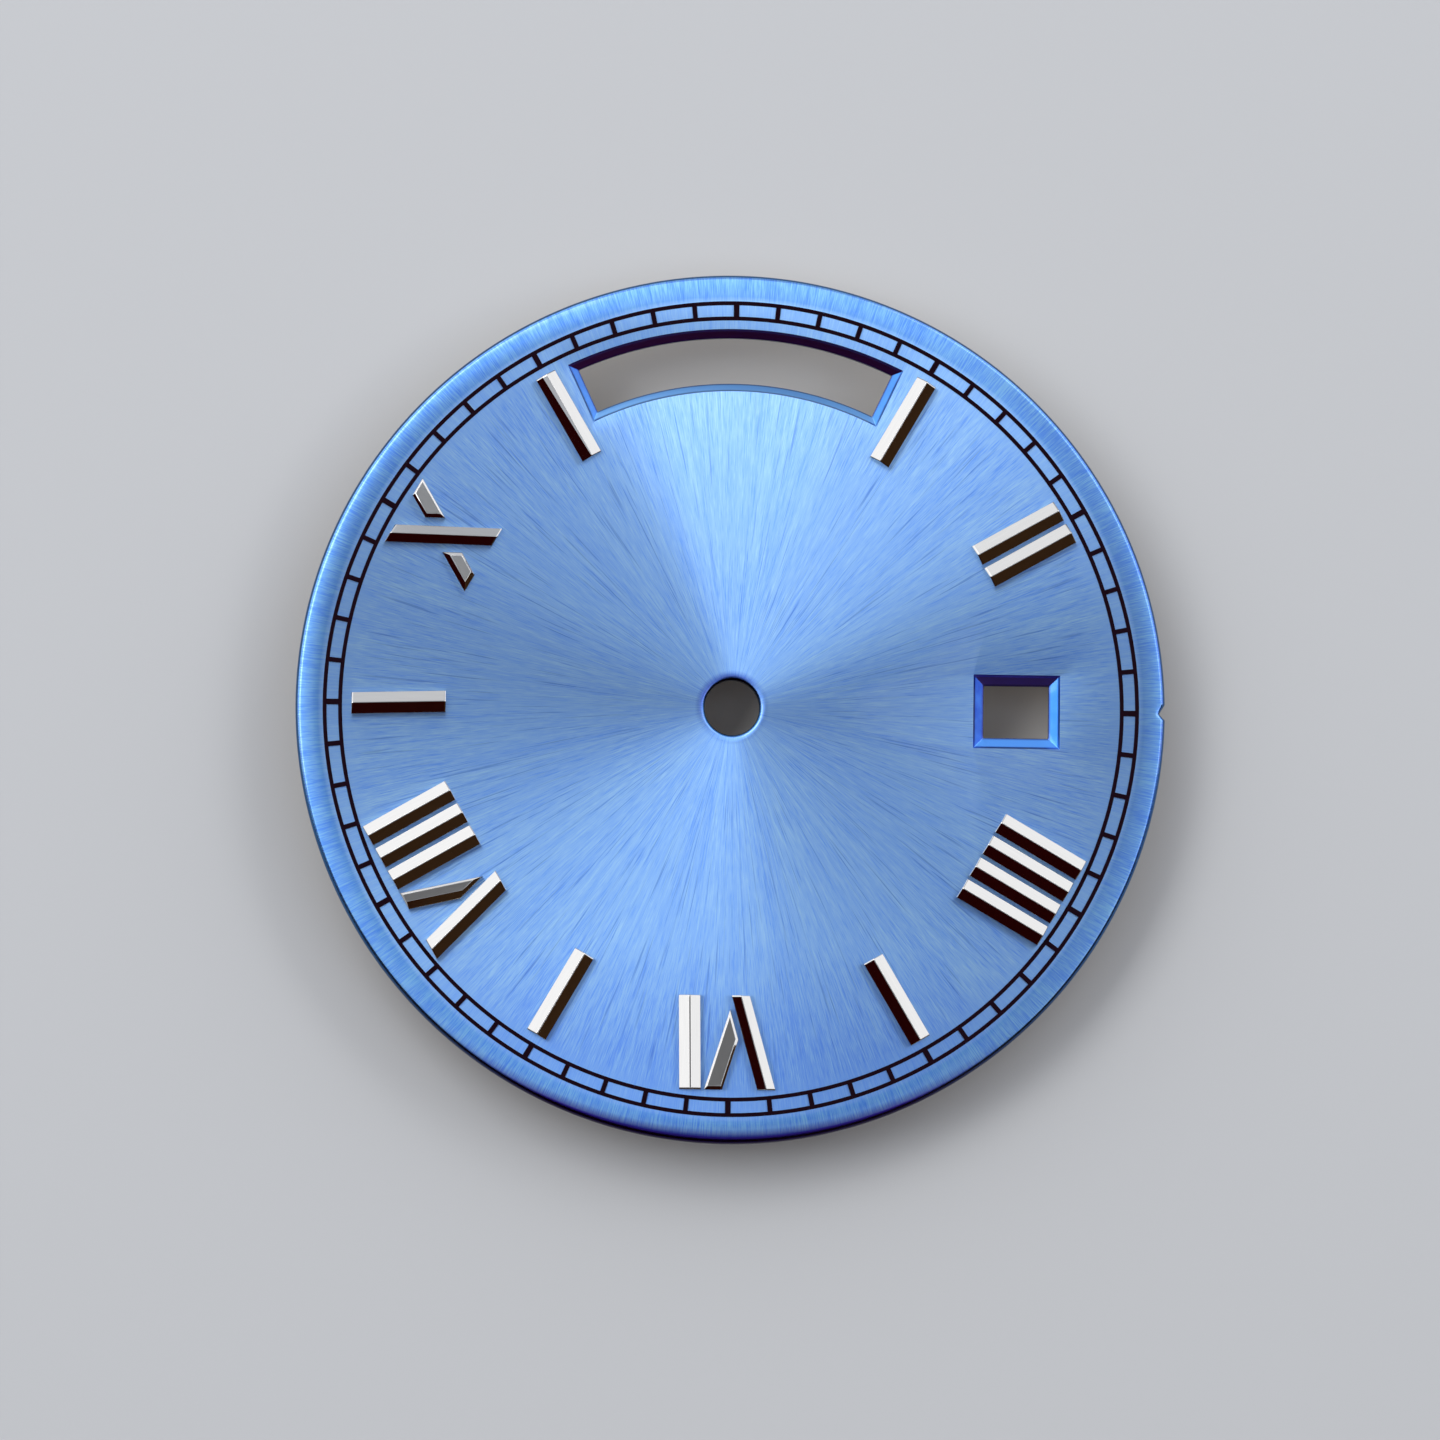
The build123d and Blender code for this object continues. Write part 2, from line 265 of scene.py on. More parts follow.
@dataclass(frozen=True)
class BrushedLacquer:
    """Blue translucent lacquer, sprayed over a brass face that was brushed along the radius.

    The brush is led from the axis outwards, so a light is drawn out across the marks and shows as a
    fan that opens from the middle. The brush doesn't reach the rounded edges, where the lacquer lies
    smooth. Painted shade makes the blue deeper on slopes that face 3, damping their highlight, and
    purple on slopes that face 6 low on the dial, on the rim near 6. The blue is also a little deeper
    low on the face. The lacquer drew up into a soft lip round the hand hole, where painted shade damps
    the highlight and is deepest above the hole. Steep edges and the hole's mouth are painted a shaded
    deep blue, nearly black where they face 6 low on the dial or near the hub. The clear coat above
    adds a faint sharp reflection and is much weaker at the dark edges.

    A fibre brush leaves marks 0.01 to 0.03 mm wide, too fine for a picture of the whole dial, so the
    fine marks are drawn 0.03 to 0.08 mm wide. They are 1 to 3 mm long, as on the real face.
    """

    name: str = "radially_brushed_lacquer"
    light: str = "#9DCAF1"
    deep: str = "#669CF1"
    score: str = "#D0DAEC"
    rim_tint: str = "#BEDAEC"
    low_tint: str = "#D6E0F3"
    # Painted shade on the lip round the hand hole: the first colour damps its highlight all round, the second
    # deepens it above the hole.
    lip_tint: str = "#D0DCF2"
    lip_shade: str = "#96A4E2"
    # Painted shade: purple on slopes that face 6 low on the dial.
    shaded: str = "#34289C"
    # Painted shade: slopes that face 3 are multiplied by this deeper blue, which damps their highlight.
    shade_at_three: str = "#98B4EC"
    # Painted shade on steep edges and the hole's mouth: deep blue, and nearly black where they face 6 low
    # down or near the hub.
    edge: str = "#2F5F92"
    dark_edge: str = "#1C0A36"
    metallic: float = 1.0
    brushed: float = 0.46
    smooth: float = 0.24
    anisotropy: float = 0.86
    edge_coat: float = 0.1
    coat_roughness: float = 0.06
    # Marks of the brush in millimetres: widths and the radii at which they hold, lengths, the radii
    # between which the fine marks change over, and the depth.
    fan_width: float = 0.5
    fan_width_at: float = 14.0
    fan_length: float = 9.0
    fine_width: float = 0.03
    inner_width_at: float = 3.9
    outer_width_at: float = 9.6
    inner_until: float = 3.5
    outer_from: float = 10.5
    mark_length: float = 0.95
    mark_octaves: float = 2.0
    mark_depth: float = 0.003
    fine_share: float = 0.85
    tone_from: float = 0.33
    tone_to: float = 0.67
    score_width: float = 0.06
    score_width_at: float = 9.0
    score_length: float = 2.6
    score_from: float = 0.34
    score_to: float = 0.22
    score_stop: float = 13.7
    score_full: float = 12.9
    # Strength of the marks under the track and on the rim.
    track_from: float = 13.6
    track_to: float = 13.9
    track_gain: float = 0.5
    rim_radius: float = 14.8
    rim_fade: float = 0.15
    rim_mark_fade: float = 0.3
    rim_gain: float = 1.5
    # How upright the normal is where the brush stops and where the painted dark edge begins.
    smooth_from: float = 0.97
    smooth_to: float = 0.9
    edge_from: float = 0.8
    edge_to: float = 0.68
    # Where the tints and the painted shade lie: heights above the middle and radii in millimetres, and parts
    # of the normal.
    low_from: float = -8.5
    low_to: float = -12.5
    lip_from: float = 1.36
    lip_to: float = 1.14
    lip_lean: float = -0.5
    lip_shade_from: float = 0.1
    lip_shade_to: float = 0.9
    facing_six_from: float = -0.11
    facing_six_to: float = -0.2
    low_shade_from: float = -11.2
    low_shade_to: float = -14.2
    facing_three_from: float = 0.2
    facing_three_to: float = 0.7
    under_from: float = 0.1
    under_to: float = -0.5
    foot_from: float = -8.0
    hub_from: float = 3.0
    hub_to: float = 2.0
    hole_from: float = 1.09
    hole_to: float = 1.05

    def marks(self, tree: bpy.types.NodeTree, guide: PolarGuide) -> bpy.types.NodeSocket:
        """Adds the brush marks: a faint broad fan, and fine marks that stay nearly as fine outwards.

        The fine marks are two noises, one with its width near the middle and one with the same
        width further out, mixed by radius. Their distance from a half is halved under the track and
        grows to one and a half on the rim.

        Args:
            tree: Node tree that gets the nodes.
            guide: Direction and radius of the point.

        Returns:
            A value round a half.
        """
        fan = brush_marks(tree, guide, self.fan_width, self.fan_width_at, self.fan_length, 0.0)
        fine_size = (self.mark_length, self.mark_octaves)
        inner = brush_marks(tree, guide, self.fine_width, self.inner_width_at, *fine_size)
        outer = brush_marks(tree, guide, self.fine_width, self.outer_width_at, *fine_size)
        inputs = {0: guide.radius, 1: self.inner_until * MM, 2: self.outer_from * MM}
        outside = add_node(tree, "ShaderNodeMapRange", inputs).outputs[0]
        inputs = {0: outside, 2: inner, 3: outer}
        fine = add_node(tree, "ShaderNodeMix", inputs, data_type="FLOAT").outputs[0]
        inputs = {0: self.fine_share, 2: fan, 3: fine}
        marks = add_node(tree, "ShaderNodeMix", inputs, data_type="FLOAT").outputs[0]
        inputs = {0: guide.radius, 1: self.track_from * MM, 2: self.track_to * MM, 3: 1.0, 4: self.track_gain}
        calm = add_node(tree, "ShaderNodeMapRange", inputs).outputs[0]
        start, end = self.rim_radius * MM, (self.rim_radius + self.rim_mark_fade) * MM
        inputs = {0: guide.radius, 1: start, 2: end, 4: self.rim_gain - self.track_gain}
        more = add_node(tree, "ShaderNodeMapRange", inputs).outputs[0]
        gain = add_node(tree, "ShaderNodeMath", {0: calm, 1: more}, operation="ADD").outputs[0]
        centred = add_node(tree, "ShaderNodeMath", {0: marks, 1: 0.5}, operation="SUBTRACT").outputs[0]
        inputs = {0: centred, 1: gain, 2: 0.5}
        return add_node(tree, "ShaderNodeMath", inputs, operation="MULTIPLY_ADD").outputs[0]

    def brushed_colour(
        self, tree: bpy.types.NodeTree, guide: PolarGuide, marks: bpy.types.NodeSocket
    ) -> bpy.types.NodeSocket:
        """Adds the face's blue: lighter and deeper by the marks, with a few longer and deeper scores.

        Args:
            tree: Node tree that gets the nodes.
            guide: Direction and radius of the point.
            marks: The brush marks' value.

        Returns:
            The colour.
        """
        inputs = {0: marks, 1: self.tone_from, 2: self.tone_to}
        tone = add_node(tree, "ShaderNodeMapRange", inputs).outputs[0]
        inputs = {0: tone, 6: linear(self.deep), 7: linear(self.light)}
        colour = add_node(tree, "ShaderNodeMix", inputs, data_type="RGBA").outputs[2]
        scores = brush_marks(tree, guide, self.score_width, self.score_width_at, self.score_length, 0.0)
        inputs = {0: scores, 1: self.score_from, 2: self.score_to}
        cut = add_node(tree, "ShaderNodeMapRange", inputs).outputs[0]
        inputs = {0: guide.radius, 1: self.score_stop * MM, 2: self.score_full * MM}
        reach = add_node(tree, "ShaderNodeMapRange", inputs).outputs[0]
        scored = add_node(tree, "ShaderNodeMath", {0: cut, 1: reach}, operation="MULTIPLY").outputs[0]
        inputs = {0: scored, 6: colour, 7: linear(self.score)}
        return add_node(tree, "ShaderNodeMix", inputs, data_type="RGBA", blend_type="MULTIPLY").outputs[2]

    def layered(
        self, tree: bpy.types.NodeTree, guide: PolarGuide, at: SurfaceGuide, colour: bpy.types.NodeSocket
    ) -> bpy.types.NodeSocket:
        """Adds tints to the blue on the rim and low on the face, and painted shade on the lip.

        The distance towards 12 less half the distance towards 3 tells where the lip's painted shade is
        deepest, which so lies above the hole and a little to its left.

        Args:
            tree: Node tree that gets the nodes.
            guide: Direction and radius of the point.
            at: Place of the point.
            colour: The face's blue.

        Returns:
            The colour.
        """
        start, end = self.rim_radius * MM, (self.rim_radius + self.rim_fade) * MM
        on_rim = add_node(tree, "ShaderNodeMapRange", {0: guide.radius, 1: start, 2: end}).outputs[0]
        inputs = {0: on_rim, 6: colour, 7: linear(self.rim_tint)}
        rim = add_node(tree, "ShaderNodeMix", inputs, data_type="RGBA", blend_type="MULTIPLY").outputs[2]
        within = add_node(tree, "ShaderNodeMapRange", {0: guide.radius, 1: end, 2: start}).outputs[0]
        inputs = {0: at.y, 1: self.low_from * MM, 2: self.low_to * MM}
        low = add_node(tree, "ShaderNodeMapRange", inputs).outputs[0]
        sunk = add_node(tree, "ShaderNodeMath", {0: within, 1: low}, operation="MULTIPLY").outputs[0]
        inputs = {0: sunk, 6: rim, 7: linear(self.low_tint)}
        lower = add_node(tree, "ShaderNodeMix", inputs, data_type="RGBA", blend_type="MULTIPLY").outputs[2]
        # Painted shade on the lip, deepest above the hole and a little to its left.
        inputs = {0: at.x, 1: self.lip_lean, 2: at.y}
        leaning = add_node(tree, "ShaderNodeMath", inputs, operation="MULTIPLY_ADD").outputs[0]
        inputs = {0: leaning, 1: self.lip_shade_from * MM, 2: self.lip_shade_to * MM}
        above = add_node(tree, "ShaderNodeMapRange", inputs).outputs[0]
        inputs = {0: above, 6: linear(self.lip_tint), 7: linear(self.lip_shade)}
        drawn = add_node(tree, "ShaderNodeMix", inputs, data_type="RGBA").outputs[2]
        inputs = {0: guide.radius, 1: self.lip_from * MM, 2: self.lip_to * MM}
        lip = add_node(tree, "ShaderNodeMapRange", inputs).outputs[0]
        inputs = {0: lip, 6: lower, 7: drawn}
        return add_node(tree, "ShaderNodeMix", inputs, data_type="RGBA", blend_type="MULTIPLY").outputs[2]

    def shade_by_facing(
        self, tree: bpy.types.NodeTree, at: SurfaceGuide, colour: bpy.types.NodeSocket
    ) -> bpy.types.NodeSocket:
        """Adds painted shade: a deeper blue on slopes that face 3, and purple on slopes that face 6 low on
        the dial.

        Args:
            tree: Node tree that gets the nodes.
            at: Place of the point and the way that its surface faces.
            colour: The blue of the layers.

        Returns:
            The colour.
        """
        # Painted shade: slopes that face 3 are multiplied by a deeper blue.
        inputs = {0: at.facing_x, 1: self.facing_three_from, 2: self.facing_three_to}
        faces_three = add_node(tree, "ShaderNodeMapRange", inputs).outputs[0]
        inputs = {0: faces_three, 6: colour, 7: linear(self.shade_at_three)}
        shade_at_three = add_node(tree, "ShaderNodeMix", inputs, data_type="RGBA", blend_type="MULTIPLY").outputs[2]
        # Painted shade: slopes that face 6 go purple low on the dial.
        inputs = {0: at.facing_y, 1: self.facing_six_from, 2: self.facing_six_to}
        faces_six = add_node(tree, "ShaderNodeMapRange", inputs).outputs[0]
        inputs = {0: at.y, 1: self.low_shade_from * MM, 2: self.low_shade_to * MM}
        low_on_dial = add_node(tree, "ShaderNodeMapRange", inputs).outputs[0]
        shade_share = add_node(tree, "ShaderNodeMath", {0: faces_six, 1: low_on_dial}, operation="MULTIPLY").outputs[0]
        inputs = {0: shade_share, 6: shade_at_three, 7: linear(self.shaded)}
        return add_node(tree, "ShaderNodeMix", inputs, data_type="RGBA").outputs[2]

    def edge_colour(
        self, tree: bpy.types.NodeTree, guide: PolarGuide, at: SurfaceGuide
    ) -> bpy.types.NodeSocket:
        """Adds the edges' painted shade: deep blue, and nearly black where they face 6, low down or at the
        hole.

        Args:
            tree: Node tree that gets the nodes.
            guide: Direction and radius of the point.
            at: Place of the point and the way that its surface faces.

        Returns:
            The colour.
        """
        # Painted shade: the edges go nearly black where they face 6, low down or near the hub.
        inputs = {0: at.facing_y, 1: self.under_from, 2: self.under_to}
        under = add_node(tree, "ShaderNodeMapRange", inputs).outputs[0]
        inputs = {0: at.y, 1: self.foot_from * MM, 2: self.low_shade_to * MM}
        foot = add_node(tree, "ShaderNodeMapRange", inputs).outputs[0]
        inputs = {0: guide.radius, 1: self.hub_from * MM, 2: self.hub_to * MM}
        hub = add_node(tree, "ShaderNodeMapRange", inputs).outputs[0]
        where = add_node(tree, "ShaderNodeMath", {0: foot, 1: hub}, operation="MAXIMUM").outputs[0]
        edge_shade_share = add_node(tree, "ShaderNodeMath", {0: under, 1: where}, operation="MULTIPLY").outputs[0]
        inputs = {0: edge_shade_share, 6: linear(self.edge), 7: linear(self.dark_edge)}
        return add_node(tree, "ShaderNodeMix", inputs, data_type="RGBA").outputs[2]

    def material(self) -> bpy.types.Material:
        """Makes the lacquer: brush marks in colour and relief, tints, and painted shade on slopes, the lip
        and the dark edges.

        Returns:
            The material.
        """
        material, tree = empty_material(self.name)
        guide, at = polar_guide(tree), surface_guide(tree)
        marks = self.marks(tree, guide)
        layers = self.layered(tree, guide, at, self.brushed_colour(tree, guide, marks))
        shaded = self.shade_by_facing(tree, at, layers)
        # Painted shade: steep slopes and the hole's mouth take the edges' shaded colour.
        inputs = {0: at.facing_z, 1: self.edge_from, 2: self.edge_to}
        steep = add_node(tree, "ShaderNodeMapRange", inputs).outputs[0]
        inputs = {0: guide.radius, 1: self.hole_from * MM, 2: self.hole_to * MM}
        mouth = add_node(tree, "ShaderNodeMapRange", inputs).outputs[0]
        dark = add_node(tree, "ShaderNodeMath", {0: steep, 1: mouth}, operation="MAXIMUM").outputs[0]
        inputs = {0: dark, 6: shaded, 7: self.edge_colour(tree, guide, at)}
        edged = add_node(tree, "ShaderNodeMix", inputs, data_type="RGBA").outputs[2]
        inputs = {0: at.facing_z, 1: self.smooth_from, 2: self.smooth_to, 3: self.brushed, 4: self.smooth}
        roughness = add_node(tree, "ShaderNodeMapRange", inputs).outputs[0]
        coat = add_node(tree, "ShaderNodeMapRange", {0: dark, 3: 1.0, 4: self.edge_coat}).outputs[0]
        inputs = {"Height": marks, "Strength": 1.0, "Distance": self.mark_depth * MM}
        relief = add_node(tree, "ShaderNodeBump", inputs).outputs[0]
        shader = add_node(
            tree,
            "ShaderNodeBsdfPrincipled",
            {
                "Base Color": edged,
                "Metallic": self.metallic,
                "Roughness": roughness,
                "Anisotropic": self.anisotropy,
                "Tangent": guide.tangent,
                "Normal": relief,
                "Coat Weight": coat,
                "Coat Roughness": self.coat_roughness,
            },
        )
        add_node(tree, "ShaderNodeOutputMaterial", {"Surface": shader.outputs[0]})
        return material


@dataclass(frozen=True)
class SmoothLacquer:
    """The same lacquer on coined brass, on the windows' bevels, which no brush reached.

    Its blue is deeper than the face's and is painted light and shade by the way each bevel faces: it
    is painted paler on bevels that face 12, the more so high on the dial, deeper on those that face 3
    than on those that face 9, and purple as painted shade on those that face 6. At the foot of each
    bevel and on the steep walls painted shade makes it nearly black. Clouds half a millimetre wide make
    the edges of these painted tones uneven.
    """

    name: str = "lacquered_bevel"
    # Painted light and shade by the way each bevel faces: paler towards 12 and palest high on the dial,
    # lighter towards 9, deeper towards 3, purple towards 6.
    paler: str = "#549CF6"
    lit_high: str = "#7CBEFF"
    lit_at_nine: str = "#2871C6"
    shade_at_three: str = "#1548B3"
    # Painted shade: nearly black at the foot of each bevel and on the steep walls.
    recess_shade: str = "#2A1260"
    shaded: str = "#8070FF"
    high_shade: str = "#7A3680"
    metallic: float = 1.0
    roughness: float = 0.34
    coat: float = 0.5
    coat_roughness: float = 0.06
    cloud_size: float = 0.5
    cloud_octaves: float = 2.0
    cloud_share: float = 0.3
    # Parts of the normal between which the colour changes.
    facing_three_from: float = -0.4
    facing_three_to: float = 0.4
    facing_twelve_from: float = 0.1
    facing_twelve_to: float = 0.6
    upward_from: float = 0.3
    upward_to: float = 0.45
    facing_six_from: float = -0.2
    facing_six_to: float = -0.4
    wall_from: float = 0.68
    wall_to: float = 0.58
    # Heights above the back of the plate and above the middle of the dial, in millimetres.
    recess_shade_from: float = 0.255
    recess_shade_to: float = 0.2
    recess_shade_share: float = 0.85
    high_from: float = 4.0
    high_to: float = 10.0

    def bevel_colour(self, tree: bpy.types.NodeTree, at: SurfaceGuide) -> bpy.types.NodeSocket:
        """Adds the bevels' colour, painted light and shade that goes by the way that they face and by their
        place.

        Args:
            tree: Node tree that gets the nodes.
            at: Place of the point and the way that its surface faces.

        Returns:
            The colour.
        """
        inputs = {"Vector": at.point, "Scale": 1 / (self.cloud_size * MM), "Detail": self.cloud_octaves}
        cloud = add_node(tree, "ShaderNodeTexNoise", inputs).outputs[0]
        inputs = {0: cloud, 1: self.cloud_share, 2: at.facing_y}
        turned = add_node(tree, "ShaderNodeMath", inputs, operation="MULTIPLY_ADD").outputs[0]
        # Painted light on bevels that face 9 and painted shade on those that face 3.
        inputs = {0: at.facing_x, 1: self.facing_three_from, 2: self.facing_three_to}
        faces_three = add_node(tree, "ShaderNodeMapRange", inputs).outputs[0]
        inputs = {0: faces_three, 6: linear(self.lit_at_nine), 7: linear(self.shade_at_three)}
        side = add_node(tree, "ShaderNodeMix", inputs, data_type="RGBA").outputs[2]
        # Painted light: bevels that face 12 high on the dial are paler still.
        inputs = {0: at.y, 1: self.high_from * MM, 2: self.high_to * MM}
        high = add_node(tree, "ShaderNodeMapRange", inputs).outputs[0]
        inputs = {0: at.facing_y, 1: self.upward_from, 2: self.upward_to}
        upward = add_node(tree, "ShaderNodeMapRange", inputs).outputs[0]
        clear = add_node(tree, "ShaderNodeMath", {0: high, 1: upward}, operation="MULTIPLY").outputs[0]
        inputs = {0: clear, 6: linear(self.paler), 7: linear(self.lit_high)}
        paler = add_node(tree, "ShaderNodeMix", inputs, data_type="RGBA").outputs[2]
        # Painted light: bevels that face 12 are paler.
        inputs = {0: turned, 1: self.facing_twelve_from, 2: self.facing_twelve_to}
        faces_twelve = add_node(tree, "ShaderNodeMapRange", inputs).outputs[0]
        inputs = {0: faces_twelve, 6: side, 7: paler}
        colour = add_node(tree, "ShaderNodeMix", inputs, data_type="RGBA").outputs[2]
        # Painted shade: purple on bevels that face 6, redder high on the dial.
        inputs = {0: high, 6: linear(self.shaded), 7: linear(self.high_shade)}
        purple = add_node(tree, "ShaderNodeMix", inputs, data_type="RGBA").outputs[2]
        inputs = {0: at.facing_y, 1: self.facing_six_from, 2: self.facing_six_to}
        faces_six = add_node(tree, "ShaderNodeMapRange", inputs).outputs[0]
        return add_node(tree, "ShaderNodeMix", {0: faces_six, 6: colour, 7: purple}, data_type="RGBA").outputs[2]

    def material(self) -> bpy.types.Material:
        """Makes the lacquer: its blue, painted light and shade by the slope's direction, and nearly black
        painted shade by height and steepness.

        Returns:
            The material.
        """
        material, tree = empty_material(self.name)
        at = surface_guide(tree)
        # Painted shade: nearly black on steep walls and at the foot of each bevel.
        inputs = {0: at.facing_z, 1: self.wall_from, 2: self.wall_to}
        steep = add_node(tree, "ShaderNodeMapRange", inputs).outputs[0]
        inputs = {0: at.z, 1: self.recess_shade_from * MM, 2: self.recess_shade_to * MM, 4: self.recess_shade_share}
        foot = add_node(tree, "ShaderNodeMapRange", inputs).outputs[0]
        dark = add_node(tree, "ShaderNodeMath", {0: steep, 1: foot}, operation="MAXIMUM").outputs[0]
        inputs = {0: dark, 6: self.bevel_colour(tree, at), 7: linear(self.recess_shade)}
        colour = add_node(tree, "ShaderNodeMix", inputs, data_type="RGBA").outputs[2]
        shader = add_node(
            tree,
            "ShaderNodeBsdfPrincipled",
            {
                "Base Color": colour,
                "Metallic": self.metallic,
                "Roughness": self.roughness,
                "Coat Weight": self.coat,
                "Coat Roughness": self.coat_roughness,
            },
        )
        add_node(tree, "ShaderNodeOutputMaterial", {"Surface": shader.outputs[0]})
        return material


@dataclass(frozen=True)
class TurnedBrass:
    """Bare brass faced on a lathe: fine rings round the axis, and clouds of tarnish.

    The rings draw a light out into a bow tie across the back. A facing cut leaves grooves about
    0.05 mm apart, drawn 0.09 mm apart so that they show. Tarnish grows in clouds of some 3 mm.
    """

    name: str = "faced_brass"
    bright: str = "#D9B36C"
    tarnished: str = "#B98F4C"
    metallic: float = 1.0
    roughness: float = 0.34
    anisotropy: float = 0.6
    groove: float = 0.09
    groove_octaves: float = 3.0
    groove_share: float = 0.35
    groove_depth: float = 0.002
    groove_strength: float = 0.5
    tarnish_size: float = 3.0
    tarnish_octaves: float = 5.0

    def material(self) -> bpy.types.Material:
        """Makes the brass: rings by radius in relief and colour, clouds of tarnish in colour.

        Returns:
            The material.
        """
        material, tree = empty_material(self.name)
        guide = polar_guide(tree)
        place = add_node(tree, "ShaderNodeTexCoord").outputs["Object"]
        inputs = {"W": guide.radius, "Scale": 1 / (self.groove * MM), "Detail": self.groove_octaves}
        rings = add_node(tree, "ShaderNodeTexNoise", inputs, noise_dimensions="1D").outputs[0]
        inputs = {"Vector": place, "Scale": 1 / (self.tarnish_size * MM), "Detail": self.tarnish_octaves}
        clouds = add_node(tree, "ShaderNodeTexNoise", inputs).outputs[0]
        inputs = {0: self.groove_share, 2: clouds, 3: rings}
        mixed = add_node(tree, "ShaderNodeMix", inputs, data_type="FLOAT").outputs[0]
        inputs = {0: mixed, 6: linear(self.tarnished), 7: linear(self.bright)}
        colour = add_node(tree, "ShaderNodeMix", inputs, data_type="RGBA").outputs[2]
        inputs = {"Height": rings, "Strength": self.groove_strength, "Distance": self.groove_depth * MM}
        relief = add_node(tree, "ShaderNodeBump", inputs).outputs[0]
        shader = add_node(
            tree,
            "ShaderNodeBsdfPrincipled",
            {
                "Base Color": colour,
                "Metallic": self.metallic,
                "Roughness": self.roughness,
                "Anisotropic": self.anisotropy,
                "Tangent": guide.direction,
                "Normal": relief,
            },
        )
        add_node(tree, "ShaderNodeOutputMaterial", {"Surface": shader.outputs[0]})
        return material


@dataclass(frozen=True)
class TurnedPin:
    """Bare copper alloy turned to a pin: rings along its length break its highlight into bands.

    The tool's feed leaves rings about 0.02 mm apart, drawn 0.05 mm apart so that they show.
    """

    name: str = "turned_pin_metal"
    bright: str = "#DDA970"
    dull: str = "#B87E48"
    metallic: float = 1.0
    roughness: float = 0.3
    groove: float = 0.05
    groove_octaves: float = 2.0
    groove_depth: float = 0.003
    groove_strength: float = 0.6

    def material(self) -> bpy.types.Material:
        """Makes the metal: rings by height, in relief and in a slightly uneven colour.

        Returns:
            The material.
        """
        material, tree = empty_material(self.name)
        place = add_node(tree, "ShaderNodeTexCoord").outputs["Object"]
        height = add_node(tree, "ShaderNodeSeparateXYZ", {0: place}).outputs["Z"]
        inputs = {"W": height, "Scale": 1 / (self.groove * MM), "Detail": self.groove_octaves}
        rings = add_node(tree, "ShaderNodeTexNoise", inputs, noise_dimensions="1D").outputs[0]
        inputs = {0: rings, 6: linear(self.dull), 7: linear(self.bright)}
        colour = add_node(tree, "ShaderNodeMix", inputs, data_type="RGBA").outputs[2]
        inputs = {"Height": rings, "Strength": self.groove_strength, "Distance": self.groove_depth * MM}
        relief = add_node(tree, "ShaderNodeBump", inputs).outputs[0]
        inputs = {
            "Base Color": colour,
            "Metallic": self.metallic,
            "Roughness": self.roughness,
            "Normal": relief,
        }
        shader = add_node(tree, "ShaderNodeBsdfPrincipled", inputs)
        add_node(tree, "ShaderNodeOutputMaterial", {"Surface": shader.outputs[0]})
        return material


@dataclass(frozen=True)
class PrintedInk:
    """Dark ink laid on by a printing pad: nearly black and satin, so it hides the brush marks.

    The pad leaves a fine orange peel, about 0.1 mm from bump to bump.
    """

    name: str = "pad_printed_ink"
    ink: str = "#10030C"
    paler: str = "#1A0714"
    roughness: float = 0.6
    specular: float = 0.03
    peel: float = 0.12
    peel_octaves: float = 3.0
    peel_depth: float = 0.004
    peel_strength: float = 0.6

    def material(self) -> bpy.types.Material:
        """Makes the ink, with its orange peel in relief and colour.

        Returns:
            The material.
        """
        material, tree = empty_material(self.name)
        place = add_node(tree, "ShaderNodeTexCoord").outputs["Object"]
        inputs = {"Vector": place, "Scale": 1 / (self.peel * MM), "Detail": self.peel_octaves}
        peel = add_node(tree, "ShaderNodeTexNoise", inputs).outputs[0]
        inputs = {0: peel, 6: linear(self.ink), 7: linear(self.paler)}
        colour = add_node(tree, "ShaderNodeMix", inputs, data_type="RGBA").outputs[2]
        inputs = {"Height": peel, "Strength": self.peel_strength, "Distance": self.peel_depth * MM}
        relief = add_node(tree, "ShaderNodeBump", inputs).outputs[0]
        inputs = {
            "Base Color": colour,
            "Roughness": self.roughness,
            "Normal": relief,
            "Specular IOR Level": self.specular,
        }
        shader = add_node(tree, "ShaderNodeBsdfPrincipled", inputs)
        add_node(tree, "ShaderNodeOutputMaterial", {"Surface": shader.outputs[0]})
        return material


